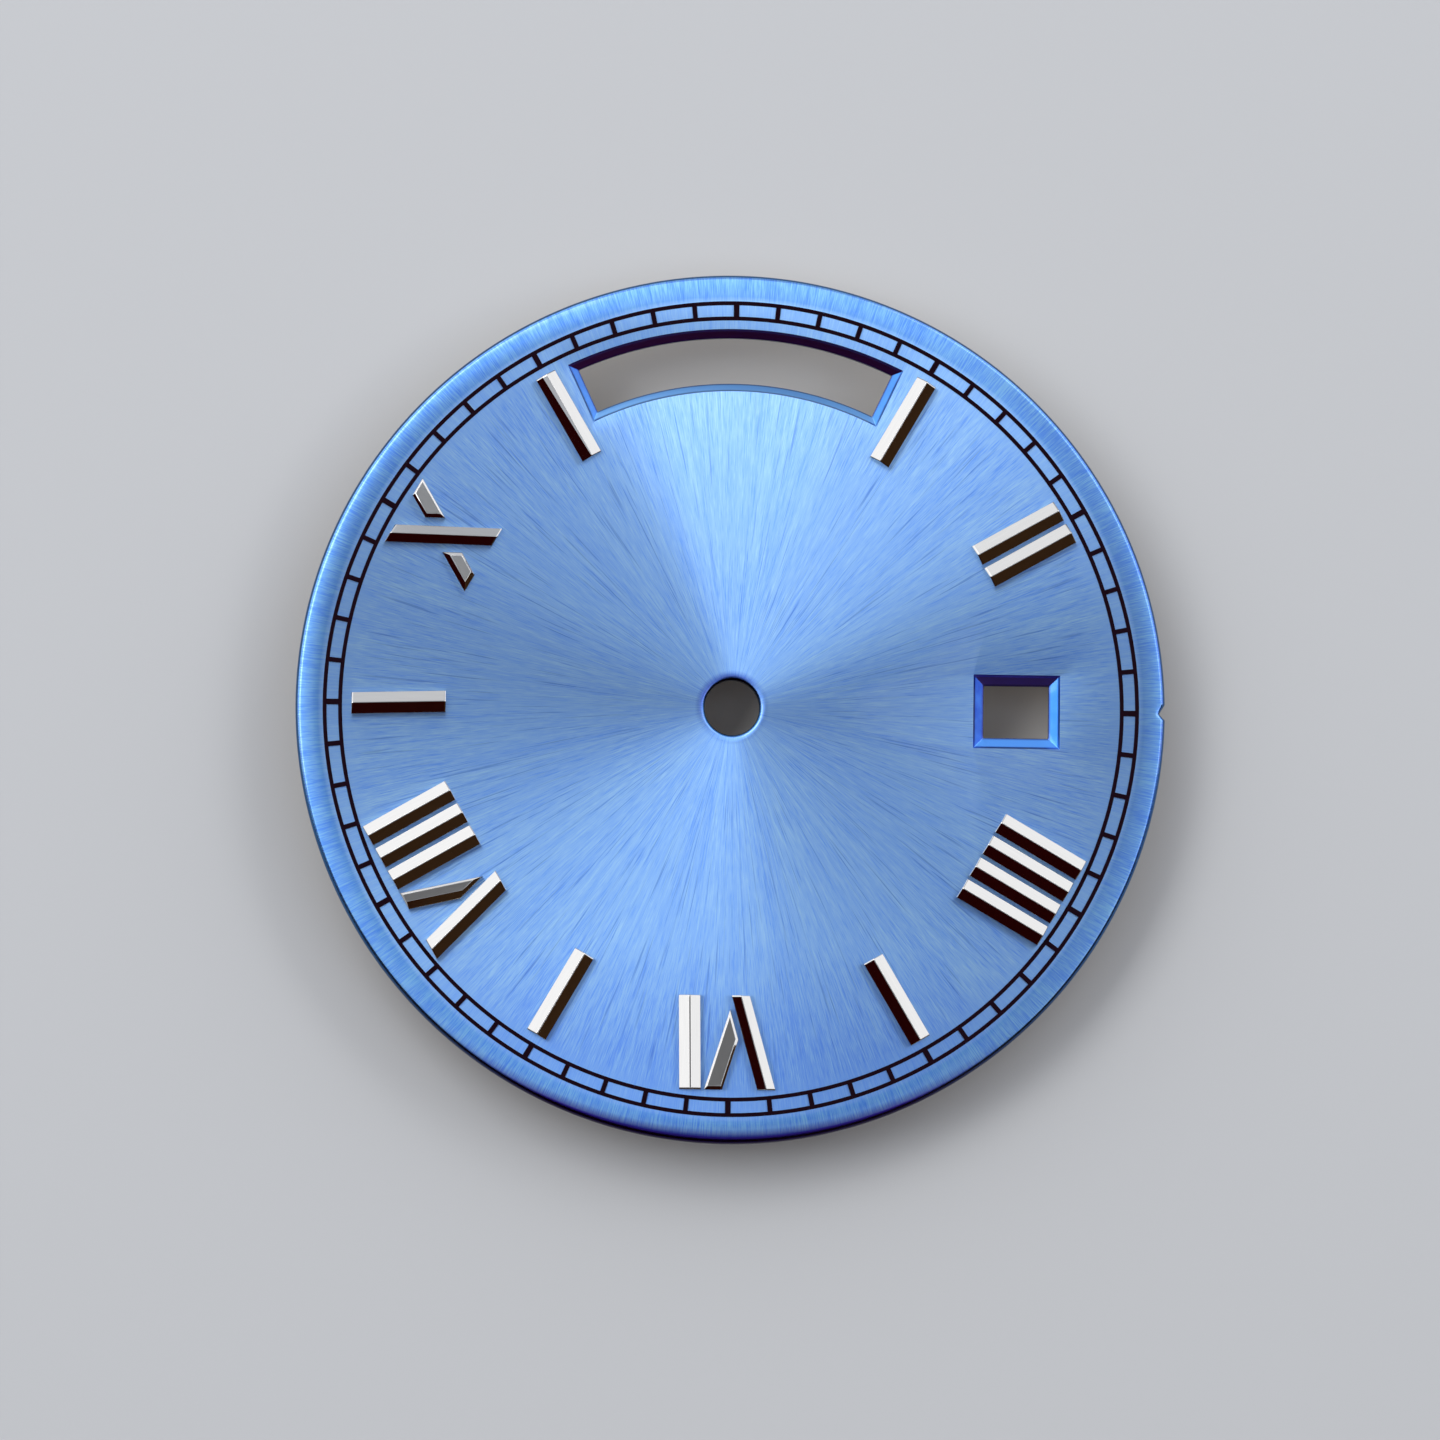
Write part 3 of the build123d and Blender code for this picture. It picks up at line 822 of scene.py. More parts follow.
@dataclass(frozen=True)
class MirrorPlating:
    """Brass plated and lapped to a mirror: each facet shows one even piece of its surroundings.

    The lap leaves the faintest marks along the stroke. Real ones are a few thousandths of a
    millimetre wide, far too fine to show, so they are drawn 0.035 mm wide and 1.2 mm long.
    """

    name: str = "mirror_polished_plating"
    bright: str = "#CCCCCB"
    grey: str = "#C4C4C3"
    metallic: float = 1.0
    roughness: float = 0.045
    lap_width: float = 0.035
    lap_length: float = 1.2
    lap_octaves: float = 2.0
    lap_depth: float = 0.0002
    lap_strength: float = 0.4
    map_name: str = "across_along"

    def material(self) -> bpy.types.Material:
        """Makes the plating; the lap's marks follow the piece's own map, in millimetres.

        Returns:
            The material.
        """
        material, tree = empty_material(self.name)
        own = add_node(tree, "ShaderNodeUVMap", uv_map=self.map_name).outputs[0]
        inputs = {0: own, 1: (1 / self.lap_width, 1 / self.lap_length, 1)}
        drawn = add_node(tree, "ShaderNodeVectorMath", inputs, operation="MULTIPLY").outputs[0]
        inputs = {"Vector": drawn, "Scale": 1.0, "Detail": self.lap_octaves}
        lap = add_node(tree, "ShaderNodeTexNoise", inputs).outputs[0]
        inputs = {0: lap, 6: linear(self.grey), 7: linear(self.bright)}
        colour = add_node(tree, "ShaderNodeMix", inputs, data_type="RGBA").outputs[2]
        inputs = {"Height": lap, "Strength": self.lap_strength, "Distance": self.lap_depth * MM}
        relief = add_node(tree, "ShaderNodeBump", inputs).outputs[0]
        inputs = {
            "Base Color": colour,
            "Metallic": self.metallic,
            "Roughness": self.roughness,
            "Normal": relief,
        }
        shader = add_node(tree, "ShaderNodeBsdfPrincipled", inputs)
        add_node(tree, "ShaderNodeOutputMaterial", {"Surface": shader.outputs[0]})
        return material


# Surfaces


def circle(radius: float, count: int, centre: tuple[float, float] = (0.0, 0.0)) -> np.ndarray:
    """Points of a circle: the centre plus the radius times the cosine and sine of even turns.

    Args:
        radius: Radius of the circle.
        count: Number of points.
        centre: Its centre.

    Returns:
        The points, anticlockwise.
    """
    turns = np.linspace(0, FULL_TURN, count, endpoint=False)
    return np.column_stack([centre[0] + radius * np.cos(turns), centre[1] + radius * np.sin(turns)])


def rounded_box(
    half_x: float, half_y: float, corner: float, corner_steps: int, steps_x: int, steps_y: int
) -> np.ndarray:
    """Outline of a box with rounded corners, anticlockwise from its lower right corner.

    Each corner is a quarter circle about a point that lies the corner's radius inside both sides,
    and evenly spaced points fill the sides between the quarters.

    Args:
        half_x: Half the length along X.
        half_y: Half the length along Y.
        corner: Radius of the corners.
        corner_steps: Steps in each quarter circle.
        steps_x: Steps on each side along X.
        steps_y: Steps on each side along Y.

    Returns:
        The outline's points.
    """
    quarter = np.linspace(0, math.pi / 2, corner_steps + 1)
    arcs = []
    for n, (side_x, side_y) in enumerate(((1, -1), (1, 1), (-1, 1), (-1, -1))):
        turn = quarter + (n - 1) * math.pi / 2
        middle_x, middle_y = side_x * (half_x - corner), side_y * (half_y - corner)
        arcs.append(np.column_stack([middle_x + corner * np.cos(turn), middle_y + corner * np.sin(turn)]))
    pieces = []
    for n, arc in enumerate(arcs):
        steps = steps_y if n % 2 == 0 else steps_x
        share = (np.arange(1, steps) / steps)[:, None]
        pieces += [arc, arc[-1] * (1 - share) + arcs[(n + 1) % 4][0] * share]
    return np.concatenate(pieces)


def lifted(outline: np.ndarray, height: float) -> np.ndarray:
    """Puts a flat outline at a height.

    Args:
        outline: Points with X and Y.
        height: Height for all of them.

    Returns:
        Points with X, Y and Z.
    """
    return np.column_stack([outline, np.full(len(outline), height)])


def inside(points: np.ndarray, outline: np.ndarray) -> np.ndarray:
    """Tells which points lie in an outline.

    They are those from which a ray along +X crosses the outline an odd number of times.

    Args:
        points: Points with X and Y.
        outline: The closed outline.

    Returns:
        True for each point inside.
    """
    start, end = outline, np.roll(outline, -1, axis=0)
    x, y = points[:, :1], points[:, 1:]
    spans = (start[:, 1] > y) != (end[:, 1] > y)
    rise = np.where(end[:, 1] == start[:, 1], 1.0, end[:, 1] - start[:, 1])
    crossing = start[:, 0] + (y - start[:, 1]) * (end[:, 0] - start[:, 0]) / rise
    return (spans & (x < crossing)).sum(axis=1) % 2 == 1


def pierced_face(outline: np.ndarray, holes: list[np.ndarray]) -> tuple[np.ndarray, np.ndarray]:
    """Triangles of a flat face with holes: a constrained triangulation, less what lies in a hole.

    Args:
        outline: The face's closed outline.
        holes: Closed outlines of its holes.

    Returns:
        The face's points with X and Y, and its triangles as point numbers.
    """
    loops = [outline, *holes]
    points = np.concatenate(loops)
    starts = np.cumsum([0] + [len(loop) for loop in loops[:-1]])
    numbers = [np.arange(len(loop)) + start for start, loop in zip(starts, loops)]
    edges = np.concatenate([np.column_stack([loop, np.roll(loop, -1)]) for loop in numbers])
    corners = [Vector(point) for point in points.tolist()]
    result = delaunay_2d_cdt(corners, edges.tolist(), [], 0, CUT_TOLERANCE)
    origin = np.array([sources[0] for sources in result[3]])
    triangles = origin[np.array(result[2])]
    middles = points[triangles].mean(axis=1)
    kept = inside(middles, outline)
    for hole in holes:
        kept &= ~inside(middles, hole)
    return points, triangles[kept]


class Shell:
    """Surface patches of one piece, in millimetres, which weld into a closed mesh."""

    def __init__(self) -> None:
        """Starts with no patches."""
        self.points: list[np.ndarray] = []
        self.faces: list[np.ndarray] = []
        self.finishes: list[np.ndarray] = []
        self.count = 0

    def patch(self, points: np.ndarray, faces: np.ndarray, finish: int = 0) -> None:
        """Adds a patch of triangles or quads.

        Args:
            points: The patch's points.
            faces: Three or four point numbers per face.
            finish: Number of the finish that the faces get.
        """
        if faces.shape[1] == 3:
            faces = np.column_stack([faces, faces[:, 2]])
        self.points.append(points)
        self.faces.append(faces + self.count)
        self.finishes.append(np.full(len(faces), int(finish)))
        self.count += len(points)

    def grid(self, points: np.ndarray, finish: int = 0) -> None:
        """Adds quads between the rows of a grid whose columns close on themselves.

        Args:
            points: Rows of points, all of one length.
            finish: Number of the finish that the faces get.
        """
        rows, columns = points.shape[:2]
        row, column = np.meshgrid(np.arange(rows - 1), np.arange(columns), indexing="ij")
        after = (column + 1) % columns
        corners = [row * columns + column, row * columns + after, (row + 1) * columns + after]
        corners.append((row + 1) * columns + column)
        faces = np.stack(corners, axis=-1).reshape(-1, 4)
        self.patch(points.reshape(-1, 3), faces, finish)

    def cap(self, loop: np.ndarray, finish: int = 0) -> None:
        """Closes a loop by triangles from its middle.

        Args:
            loop: Points of the loop, in order.
            finish: Number of the finish that the faces get.
        """
        numbers = np.arange(len(loop))
        faces = np.column_stack([numbers, np.roll(numbers, -1), np.full(len(loop), len(loop))])
        self.patch(np.vstack([loop, loop.mean(axis=0)]), faces, finish)

    def weld(self) -> tuple[np.ndarray, np.ndarray, np.ndarray, np.ndarray, np.ndarray]:
        """Joins equal points and drops what that leaves without an area.

        Returns:
            Points, quads, their finishes, triangles and their finishes.
        """
        points = np.concatenate(self.points)
        _, first, joined = np.unique(
            np.round(points, WELD_DIGITS), axis=0, return_index=True, return_inverse=True
        )
        faces = joined.reshape(-1)[np.concatenate(self.faces)]
        finishes = np.concatenate(self.finishes)
        same = faces == np.roll(faces, -1, axis=1)
        quads = ~same.any(axis=1) & (faces[:, 0] != faces[:, 2]) & (faces[:, 1] != faces[:, 3])
        thirds = same.sum(axis=1) == 1
        picks = np.select(
            [same[:, [0]], same[:, [1]]],
            [np.array([[1, 2, 3]]), np.array([[0, 1, 3]])],
            np.array([[0, 1, 2]]),
        )
        triangles = np.take_along_axis(faces, picks, axis=1)
        return points[first], faces[quads], finishes[quads], triangles[thirds], finishes[thirds]

    def build(
        self,
        name: str,
        finishes: list[bpy.types.Material],
        crease: float = 24.0,
        own_map: Callable[[np.ndarray], np.ndarray] | None = None,
    ) -> bpy.types.Object:
        """Makes the piece's object: welded, faces outwards, smooth up to the crease angle.

        Args:
            name: Name of the piece.
            finishes: Its materials, in the order of the patches' numbers.
            crease: Angle in degrees from which an edge stays sharp.
            own_map: Turns points in millimetres into the piece's own map.

        Returns:
            The object, at the origin, unturned and unscaled.
        """
        points, quads, quad_finishes, triangles, triangle_finishes = self.weld()
        mesh = bpy.data.meshes.new(name)
        mesh.from_pydata((points * MM).tolist(), [], quads.tolist() + triangles.tolist())
        for finish in finishes:
            mesh.materials.append(finish)
        numbers = np.concatenate([quad_finishes, triangle_finishes]).astype(np.int32)
        mesh.polygons.foreach_set("material_index", numbers)
        mesh.polygons.foreach_set("use_smooth", np.ones(len(numbers), dtype=bool))
        sorted_out = bmesh.new()
        sorted_out.from_mesh(mesh)
        bmesh.ops.recalc_face_normals(sorted_out, faces=sorted_out.faces)
        open_edges = sum(1 for edge in sorted_out.edges if not edge.is_manifold)
        sorted_out.to_mesh(mesh)
        sorted_out.free()
        mesh.set_sharp_from_angle(angle=math.radians(crease))
        if own_map is not None:
            corners = np.empty(len(mesh.loops), dtype=np.int32)
            mesh.loops.foreach_get("vertex_index", corners)
            places = np.empty(len(mesh.vertices) * 3)
            mesh.vertices.foreach_get("co", places)
            guide = own_map(places.reshape(-1, 3) / MM)[corners]
            layer = mesh.uv_layers.new(name=MirrorPlating.map_name)
            layer.uv.foreach_set("vector", guide.astype(np.float32).ravel())
        piece = bpy.data.objects.new(name, mesh)
        bpy.context.scene.collection.objects.link(piece)
        LOG.info("%s: %d points, %d faces, %d open edges", name, len(points), len(numbers), open_edges)
        return piece


def seat(piece: bpy.types.Object, node: str) -> bpy.types.Object:
    """Puts a piece in a node's stead on the one body of the dial.

    Args:
        piece: The finished piece.
        node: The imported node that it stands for.

    Returns:
        The same piece.
    """
    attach(piece, "root")
    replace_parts(piece, node)
    return piece


# Sub-assemblies


@dataclass
class Stroke:
    """One applied stroke of a numeral, in its hour's own axes: X clockwise and Y outwards."""

    node: str
    hour: int
    feet: np.ndarray

    def to_dial(self, points: np.ndarray) -> np.ndarray:
        """Turns points from the hour's axes into the dial's, by the hour's bearing.

        Args:
            points: Points with X and Y, and with or without Z.

        Returns:
            The turned points.
        """
        bearing = FULL_TURN * self.hour / HOURS
        x, y = points[:, 0], points[:, 1]
        cos, sin = math.cos(bearing), math.sin(bearing)
        return np.column_stack([x * cos + y * sin, y * cos - x * sin, points[:, 2:]])

    def to_hour(self, points: np.ndarray) -> np.ndarray:
        """Turns points from the dial's axes into the hour's, the other way round.

        Args:
            points: Points with X, Y and Z.

        Returns:
            The turned points, with X and Y only.
        """
        bearing = FULL_TURN * self.hour / HOURS
        x, y = points[:, 0], points[:, 1]
        cos, sin = math.cos(bearing), math.sin(bearing)
        return np.column_stack([x * cos - y * sin, y * cos + x * sin])


@dataclass
class RoofedStroke(Stroke):
    """A stroke with two facets that meet in a ridge."""

    x_in: float = 0.0
    x_out: float = 0.0
    y_in: float = 0.0
    length: float = 3.4
    width: float = 0.78
    wall: float = 0.2
    ridge: float = 0.42
    end_round: float = 0.07
    end_from: float = 28.0
    shoulder_round: float = 0.014
    ridge_round: float = 0.006
    support: float = 0.008
    lands: tuple[float, float, float, float] = (0.015, 0.015, 0.015, 0.015)
    round_points: int = 5
    end_points: int = 6

    def section(self, left: float, right: float) -> np.ndarray:
        """Outline across the stroke, anticlockwise from its lower right corner.

        The two facets are cut off by a narrow land along the ridge. Walls, facets and land meet in
        small rounds, each sampled as a quadratic curve from one tangent point to the other, with a
        point just beyond either end that keeps the facets' shading flat.

        Args:
            left: How far the land reaches left of the ridge.
            right: How far it reaches right of it.

        Returns:
            Points with the distance across and the height above the seat.
        """
        half = self.width / 2
        fall = (self.ridge - self.wall) / half
        corners = np.array(
            [
                (half, 0.0),
                (half, self.wall),
                (right, self.ridge - fall * right),
                (-left, self.ridge - fall * left),
                (-half, self.wall),
                (-half, 0.0),
            ]
        )
        share = np.linspace(0, 1, self.round_points)[:, None]
        sizes = (self.shoulder_round, self.ridge_round, self.ridge_round, self.shoulder_round)
        rounds = [corners[:1]]
        for size, before, middle, after in zip(sizes, corners, corners[1:], corners[2:]):
            back = (before - middle) / np.linalg.norm(before - middle)
            on = (after - middle) / np.linalg.norm(after - middle)
            start, end = middle + back * size, middle + on * size
            curve = start * (1 - share) ** 2 + middle * 2 * share * (1 - share) + end * share**2
            rounds += [start[None] + back * self.support, curve, end[None] + on * self.support]
        rounds.append(corners[5:])
        return np.concatenate(rounds)

    def add_to(self, shell: Shell, face: float) -> None:
        """Adds the stroke: its section carried along it, lowered at both ends by part of a round.

        The section goes evenly from the inner end's to the outer end's, so an uneven land is a wedge.

        Args:
            shell: Shell that gets the patches.
            face: Height of the dial's face.
        """
        left_in, right_in, left_out, right_out = self.lands
        inner, outer = self.section(left_in, right_in), self.section(left_out, right_out)
        first = math.radians(self.end_from)
        turn = np.linspace(first, math.pi / 2, self.end_points)
        end_y = np.append(self.end_round * (math.cos(first) - np.cos(turn)), self.end_round + self.support)
        end_drop = np.append(self.end_round * (1 - np.sin(turn)), 0.0)
        y = np.concatenate([end_y, self.length - end_y[::-1]])
        drop = np.concatenate([end_drop, end_drop[::-1]])
        middle = self.x_in + (self.x_out - self.x_in) * y / self.length
        share = (y / self.length)[:, None, None]
        section = inner * (1 - share) + outer * share
        across = middle[:, None] + section[:, :, 0]
        along = np.broadcast_to(self.y_in + y[:, None], across.shape)
        height = face + section[:, :, 1] - drop[:, None] * (section[:, :, 1] > 0)
        rows = np.stack([across, along, height], axis=-1)
        placed = self.to_dial(rows.reshape(-1, 3)).reshape(rows.shape)
        shell.grid(placed)
        shell.cap(placed[0])
        shell.cap(placed[-1])


@dataclass
class FlatStroke(Stroke):
    """A short flat-topped stroke with bevelled edges, each lapped to a width of its own."""

    corners: np.ndarray = field(default_factory=lambda: np.zeros((4, 2)))
    bevels: tuple[float, ...] = (0.09, 0.09, 0.09, 0.09)
    height: float = 0.3
    fall: float = 0.64
    edge_round: float = 0.012
    levels: tuple[tuple[float, float, float, float], ...] = (
        (0.0, 0.0, 1.0, 2.0),
        (0.0, 0.0, 1.0, 1.0),
        (0.03, 0.0, 1.0, 0.2),
        (0.12, 0.0, 0.88, 0.0),
        (0.2, 0.0, 0.8, 0.0),
        (0.8, 0.0, 0.2, 0.0),
        (0.9, 0.0, 0.1, 0.0),
        (1.0, 0.0, 0.0, 0.2),
        (1.0, 1.0, 0.0, 0.0),
        (1.0, 2.0, 0.0, 0.0),
    )

    def inset(self, distances: np.ndarray) -> np.ndarray:
        """Outline with every side moved inwards by its own distance.

        Each new corner is the point that lies at the right distance from both of its sides'
        lines, which is a pair of linear equations.

        Args:
            distances: How far each side moves; side n runs from corner n to the next.

        Returns:
            The moved corners.
        """
        ahead = np.roll(self.corners, -1, axis=0) - self.corners
        ahead /= np.linalg.norm(ahead, axis=1)[:, None]
        x, y = self.corners.T
        area = np.sum(x * np.roll(y, -1) - y * np.roll(x, -1))
        inward = np.column_stack([-ahead[:, 1], ahead[:, 0]]) * np.sign(area)
        offset = np.sum(inward * self.corners, axis=1) + distances
        pairs = np.stack([np.roll(inward, 1, axis=0), inward], axis=1)
        sides = np.stack([np.roll(offset, 1), offset], axis=1)
        return np.linalg.solve(pairs, sides[:, :, None])[:, :, 0]

    def add_to(self, shell: Shell, face: float) -> None:
        """Adds the stroke: its outline carried up the wall, over the bevel and closed by the flat top.

        Each level is a share of the bevels' widths, a number of edge rounds beyond them, a share of
        their drops and a number of edge rounds below that. A corner's drop is the bevels' fall times
        the mean width of the two bevels that meet there. Pairs of close levels round an edge and keep
        the surfaces flat.

        Args:
            shell: Shell that gets the patches.
            face: Height of the dial's face.
        """
        bevels = np.array(self.bevels)
        drops = self.fall * (bevels + np.roll(bevels, 1)) / 2
        rows = [lifted(self.corners, face)]
        for share, beyond, down, below in self.levels:
            height = face + self.height - down * drops - below * self.edge_round
            outline = self.inset(share * bevels + beyond * self.edge_round)
            rows.append(np.column_stack([outline, height]))
        rows = np.stack(rows)
        placed = self.to_dial(rows.reshape(-1, 3)).reshape(rows.shape)
        shell.grid(placed)
        shell.cap(placed[0])
        shell.cap(placed[-1])


@dataclass
class Numerals:
    """The twelve hours' applied strokes, except at 12 and 3, where the windows are."""

    mark_inner: float = 10.393
    mark_length: float = 3.4
    bar_width: float = 0.78
    bar_gap: float = 0.135
    foot_radius: float = 0.14
    foot_inset: float = 0.6
    foot_shy: float = 0.02
    foot_break: float = 0.03
    v_spread: float = 0.96
    v_short_width: float = 0.66
    v_short_slope: float = 17.5
    v_gap: float = 0.19
    v_tip: float = 0.5
    x_spread: float = 1.86
    x_long_width: float = 0.73
    x_short_width: float = 0.72
    x_short_slope: float = 29.7
    x_gap: float = 0.33
    x_tip: float = 0.255
    v_long_width: dict[int, float] = field(default_factory=lambda: {6: 0.66, 8: 0.8})
    bevels: dict[str, tuple[float, ...]] = field(
        default_factory=lambda: {
            "hour_6_v_short": (0.075, 0.13, 0.1, 0.09),
            "hour_8_v_short": (0.075, 0.06, 0.27, 0.15),
            "hour_10_x_outer": (0.075, 0.065, 0.13, 0.15),
            "hour_10_x_inner": (0.21, 0.18, 0.075, 0.12),
        }
    )
    lands: dict[str, tuple[float, float, float, float]] = field(
        default_factory=lambda: {
            "hour_6_bar": (0.03, 0.03, 0.03, 0.03),
            "hour_11_bar": (0.015, 0.015, 0.14, 0.03),
        }
    )
    bar_places: dict[int, tuple[float, ...]] = field(
        default_factory=lambda: {
            1: (0,),
            2: (-0.5, 0.5),
            4: (-1.5, -0.5, 0.5, 1.5),
            5: (0,),
            7: (0,),
            9: (0,),
            11: (0,),
        }
    )
    set_out: dict[int, float] = field(
        default_factory=lambda: {2: 0.08, 4: 0.08, 7: -0.04, 8: -0.06, 9: -0.07, 10: 0.05}
    )
    set_over: dict[int, float] = field(default_factory=lambda: {1: 0.05, 6: 0.06, 7: 0.07})
    lean: dict[int, float] = field(default_factory=lambda: {2: 0.5, 5: -0.8, 6: -0.9, 9: -1.8, 11: -0.4})

    def y_in(self, hour: int) -> float:
        """Radius of the inner ends of an hour's strokes."""
        return self.mark_inner + self.set_out.get(hour, 0.0) * self.bar_width

    def over(self, hour: int) -> float:
        """How far clockwise an hour's strokes were set from their place."""
        return self.set_over.get(hour, 0.0) * self.bar_width

    def roofed(self, node: str, hour: int, x_in: float, x_out: float, width: float) -> RoofedStroke:
        """Makes a roofed stroke and places its two feet.

        Args:
            node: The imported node's name.
            hour: The hour that the stroke belongs to.
            x_in: Its middle at the inner end.
            x_out: Its middle at the outer end.
            width: Its width.

        Returns:
            The stroke.
        """
        slope = (x_out - x_in) / self.mark_length
        y = self.y_in(hour)
        feet = np.array(
            [
                (x_in + slope * self.foot_inset, y + self.foot_inset),
                (x_out - slope * self.foot_inset, y + self.mark_length - self.foot_inset),
            ]
        )
        stroke = RoofedStroke(node, hour, feet, x_in, x_out, y, self.mark_length, width)
        stroke.lands = self.lands.get(node, stroke.lands)
        return stroke

    def bar(self, node: str, hour: int, x: float) -> RoofedStroke:
        """Makes an upright bar with its middle at x, leaning as it was set."""
        half = self.mark_length / 2 * math.tan(math.radians(self.lean.get(hour, 0.0)))
        return self.roofed(node, hour, x - half, x + half, self.bar_width)

    def flat(
        self,
        node: str,
        hour: int,
        tip: tuple[float, float],
        slopes: tuple[float, float],
        width: float,
        turned: bool = False,
    ) -> FlatStroke:
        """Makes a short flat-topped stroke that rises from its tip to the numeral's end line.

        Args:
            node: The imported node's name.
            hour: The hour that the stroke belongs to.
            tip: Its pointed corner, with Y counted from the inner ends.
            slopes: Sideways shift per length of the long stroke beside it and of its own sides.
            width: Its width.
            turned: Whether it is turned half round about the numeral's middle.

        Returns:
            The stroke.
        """
        long_slope, short_slope = slopes
        rise = width / (short_slope + long_slope)
        reach = short_slope * (self.mark_length - tip[1])
        top = self.mark_length
        shoulder = (tip[0] - long_slope * rise, tip[1] + rise)
        corners = np.array([tip, (tip[0] + reach, top), (tip[0] + reach - width, top), shoulder])
        feet = np.array(
            [
                (tip[0] + reach - width / 2 - short_slope * self.foot_inset / 2, top - self.foot_inset / 2),
                (shoulder[0] + width / 2, shoulder[1]),
            ]
        )
        if turned:
            middle = np.array([0.0, self.mark_length])
            corners, feet = middle - corners, middle - feet
        lift = np.array([0.0, self.y_in(hour)])
        return FlatStroke(node, hour, feet + lift, corners + lift, self.bevels[node])

    def v_strokes(self, hour: int, bars: int) -> list[Stroke]:
        """Makes the V of an hour and the bars to its right, centred together on the hour.

        Args:
            hour: Six or eight.
            bars: Number of bars.

        Returns:
            The strokes.
        """
        pitch = self.bar_width + self.bar_gap
        long_width = self.v_long_width[hour]
        slopes = (self.v_spread / self.mark_length, math.tan(math.radians(self.v_short_slope)))
        tip_x = long_width / 2 + self.v_gap - slopes[0] * self.v_tip
        right = tip_x + slopes[1] * (self.mark_length - self.v_tip)
        left = self.v_spread + long_width / 2
        shift = (left - right - bars * pitch) / 2 + self.over(hour)
        first = shift + right + self.bar_gap + self.bar_width / 2
        strokes: list[Stroke] = [
            self.roofed(f"hour_{hour}_v_long", hour, shift, shift - self.v_spread, long_width),
            self.flat(f"hour_{hour}_v_short", hour, (shift + tip_x, self.v_tip), slopes, self.v_short_width),
        ]
        for n in range(bars):
            strokes.append(self.bar(self.bar_name(hour, bars, n), hour, first + n * pitch))
        return strokes

    def x_strokes(self, hour: int) -> list[Stroke]:
        """Makes the X of an hour: its long stroke, and a short one on either side of it.

        Args:
            hour: Ten.

        Returns:
            The strokes.
        """
        slopes = (self.x_spread / self.mark_length, math.tan(math.radians(self.x_short_slope)))
        tip_x = self.x_long_width / 2 + self.x_gap - slopes[0] * self.x_tip
        tip = (tip_x, self.mark_length / 2 + self.x_tip)
        half = self.x_spread / 2
        return [
            self.roofed(f"hour_{hour}_x_long", hour, half, -half, self.x_long_width),
            self.flat(f"hour_{hour}_x_outer", hour, tip, slopes, self.x_short_width),
            self.flat(f"hour_{hour}_x_inner", hour, tip, slopes, self.x_short_width, turned=True),
        ]

    @staticmethod
    def bar_name(hour: int, bars: int, n: int) -> str:
        """Name of bar n of an hour, with a letter where the hour has more than one."""
        return f"hour_{hour}_bar" if bars == 1 else f"hour_{hour}_bar_{'abcd'[n]}"

    def strokes(self) -> list[Stroke]:
        """Makes all the strokes of the dial.

        Returns:
            The strokes.
        """
        pitch = self.bar_width + self.bar_gap
        found: list[Stroke] = []
        for hour, places in self.bar_places.items():
            for n, place in enumerate(places):
                name = self.bar_name(hour, len(places), n)
                found.append(self.bar(name, hour, place * pitch + self.over(hour)))
        return found + self.v_strokes(6, 1) + self.v_strokes(8, 3) + self.x_strokes(10)

    def build(self, face: float, plating: bpy.types.Material) -> list[bpy.types.Object]:
        """Builds every stroke with its two feet.

        Args:
            face: Height of the dial's face.
            plating: The strokes' finish.

        Returns:
            The pieces.
        """
        pieces = []
        for stroke in self.strokes():
            shell = Shell()
            stroke.add_to(shell, face)
            for foot in stroke.to_dial(stroke.feet):
                self.add_foot(shell, foot, face)
            piece = shell.build(f"polished_{stroke.node}", [plating], own_map=stroke.to_hour)
            pieces.append(seat(piece, stroke.node))
        return pieces

    def add_foot(self, shell: Shell, foot: np.ndarray, face: float) -> None:
        """Adds a foot: a circle carried from just inside the plate's back up into the stroke.

        Args:
            shell: Shell that gets the patches.
            foot: The foot's place on the dial.
            face: Height of the dial's face.
        """
        levels = (
            (self.foot_radius - self.foot_break, self.foot_shy),
            (self.foot_radius, self.foot_shy + self.foot_break),
            (self.foot_radius, face + self.foot_break),
        )
        rows = np.stack([lifted(circle(r, STROKE_FOOT_STEPS, tuple(foot)), z) for r, z in levels])
        shell.grid(rows)
        shell.cap(rows[0])
        shell.cap(rows[-1])


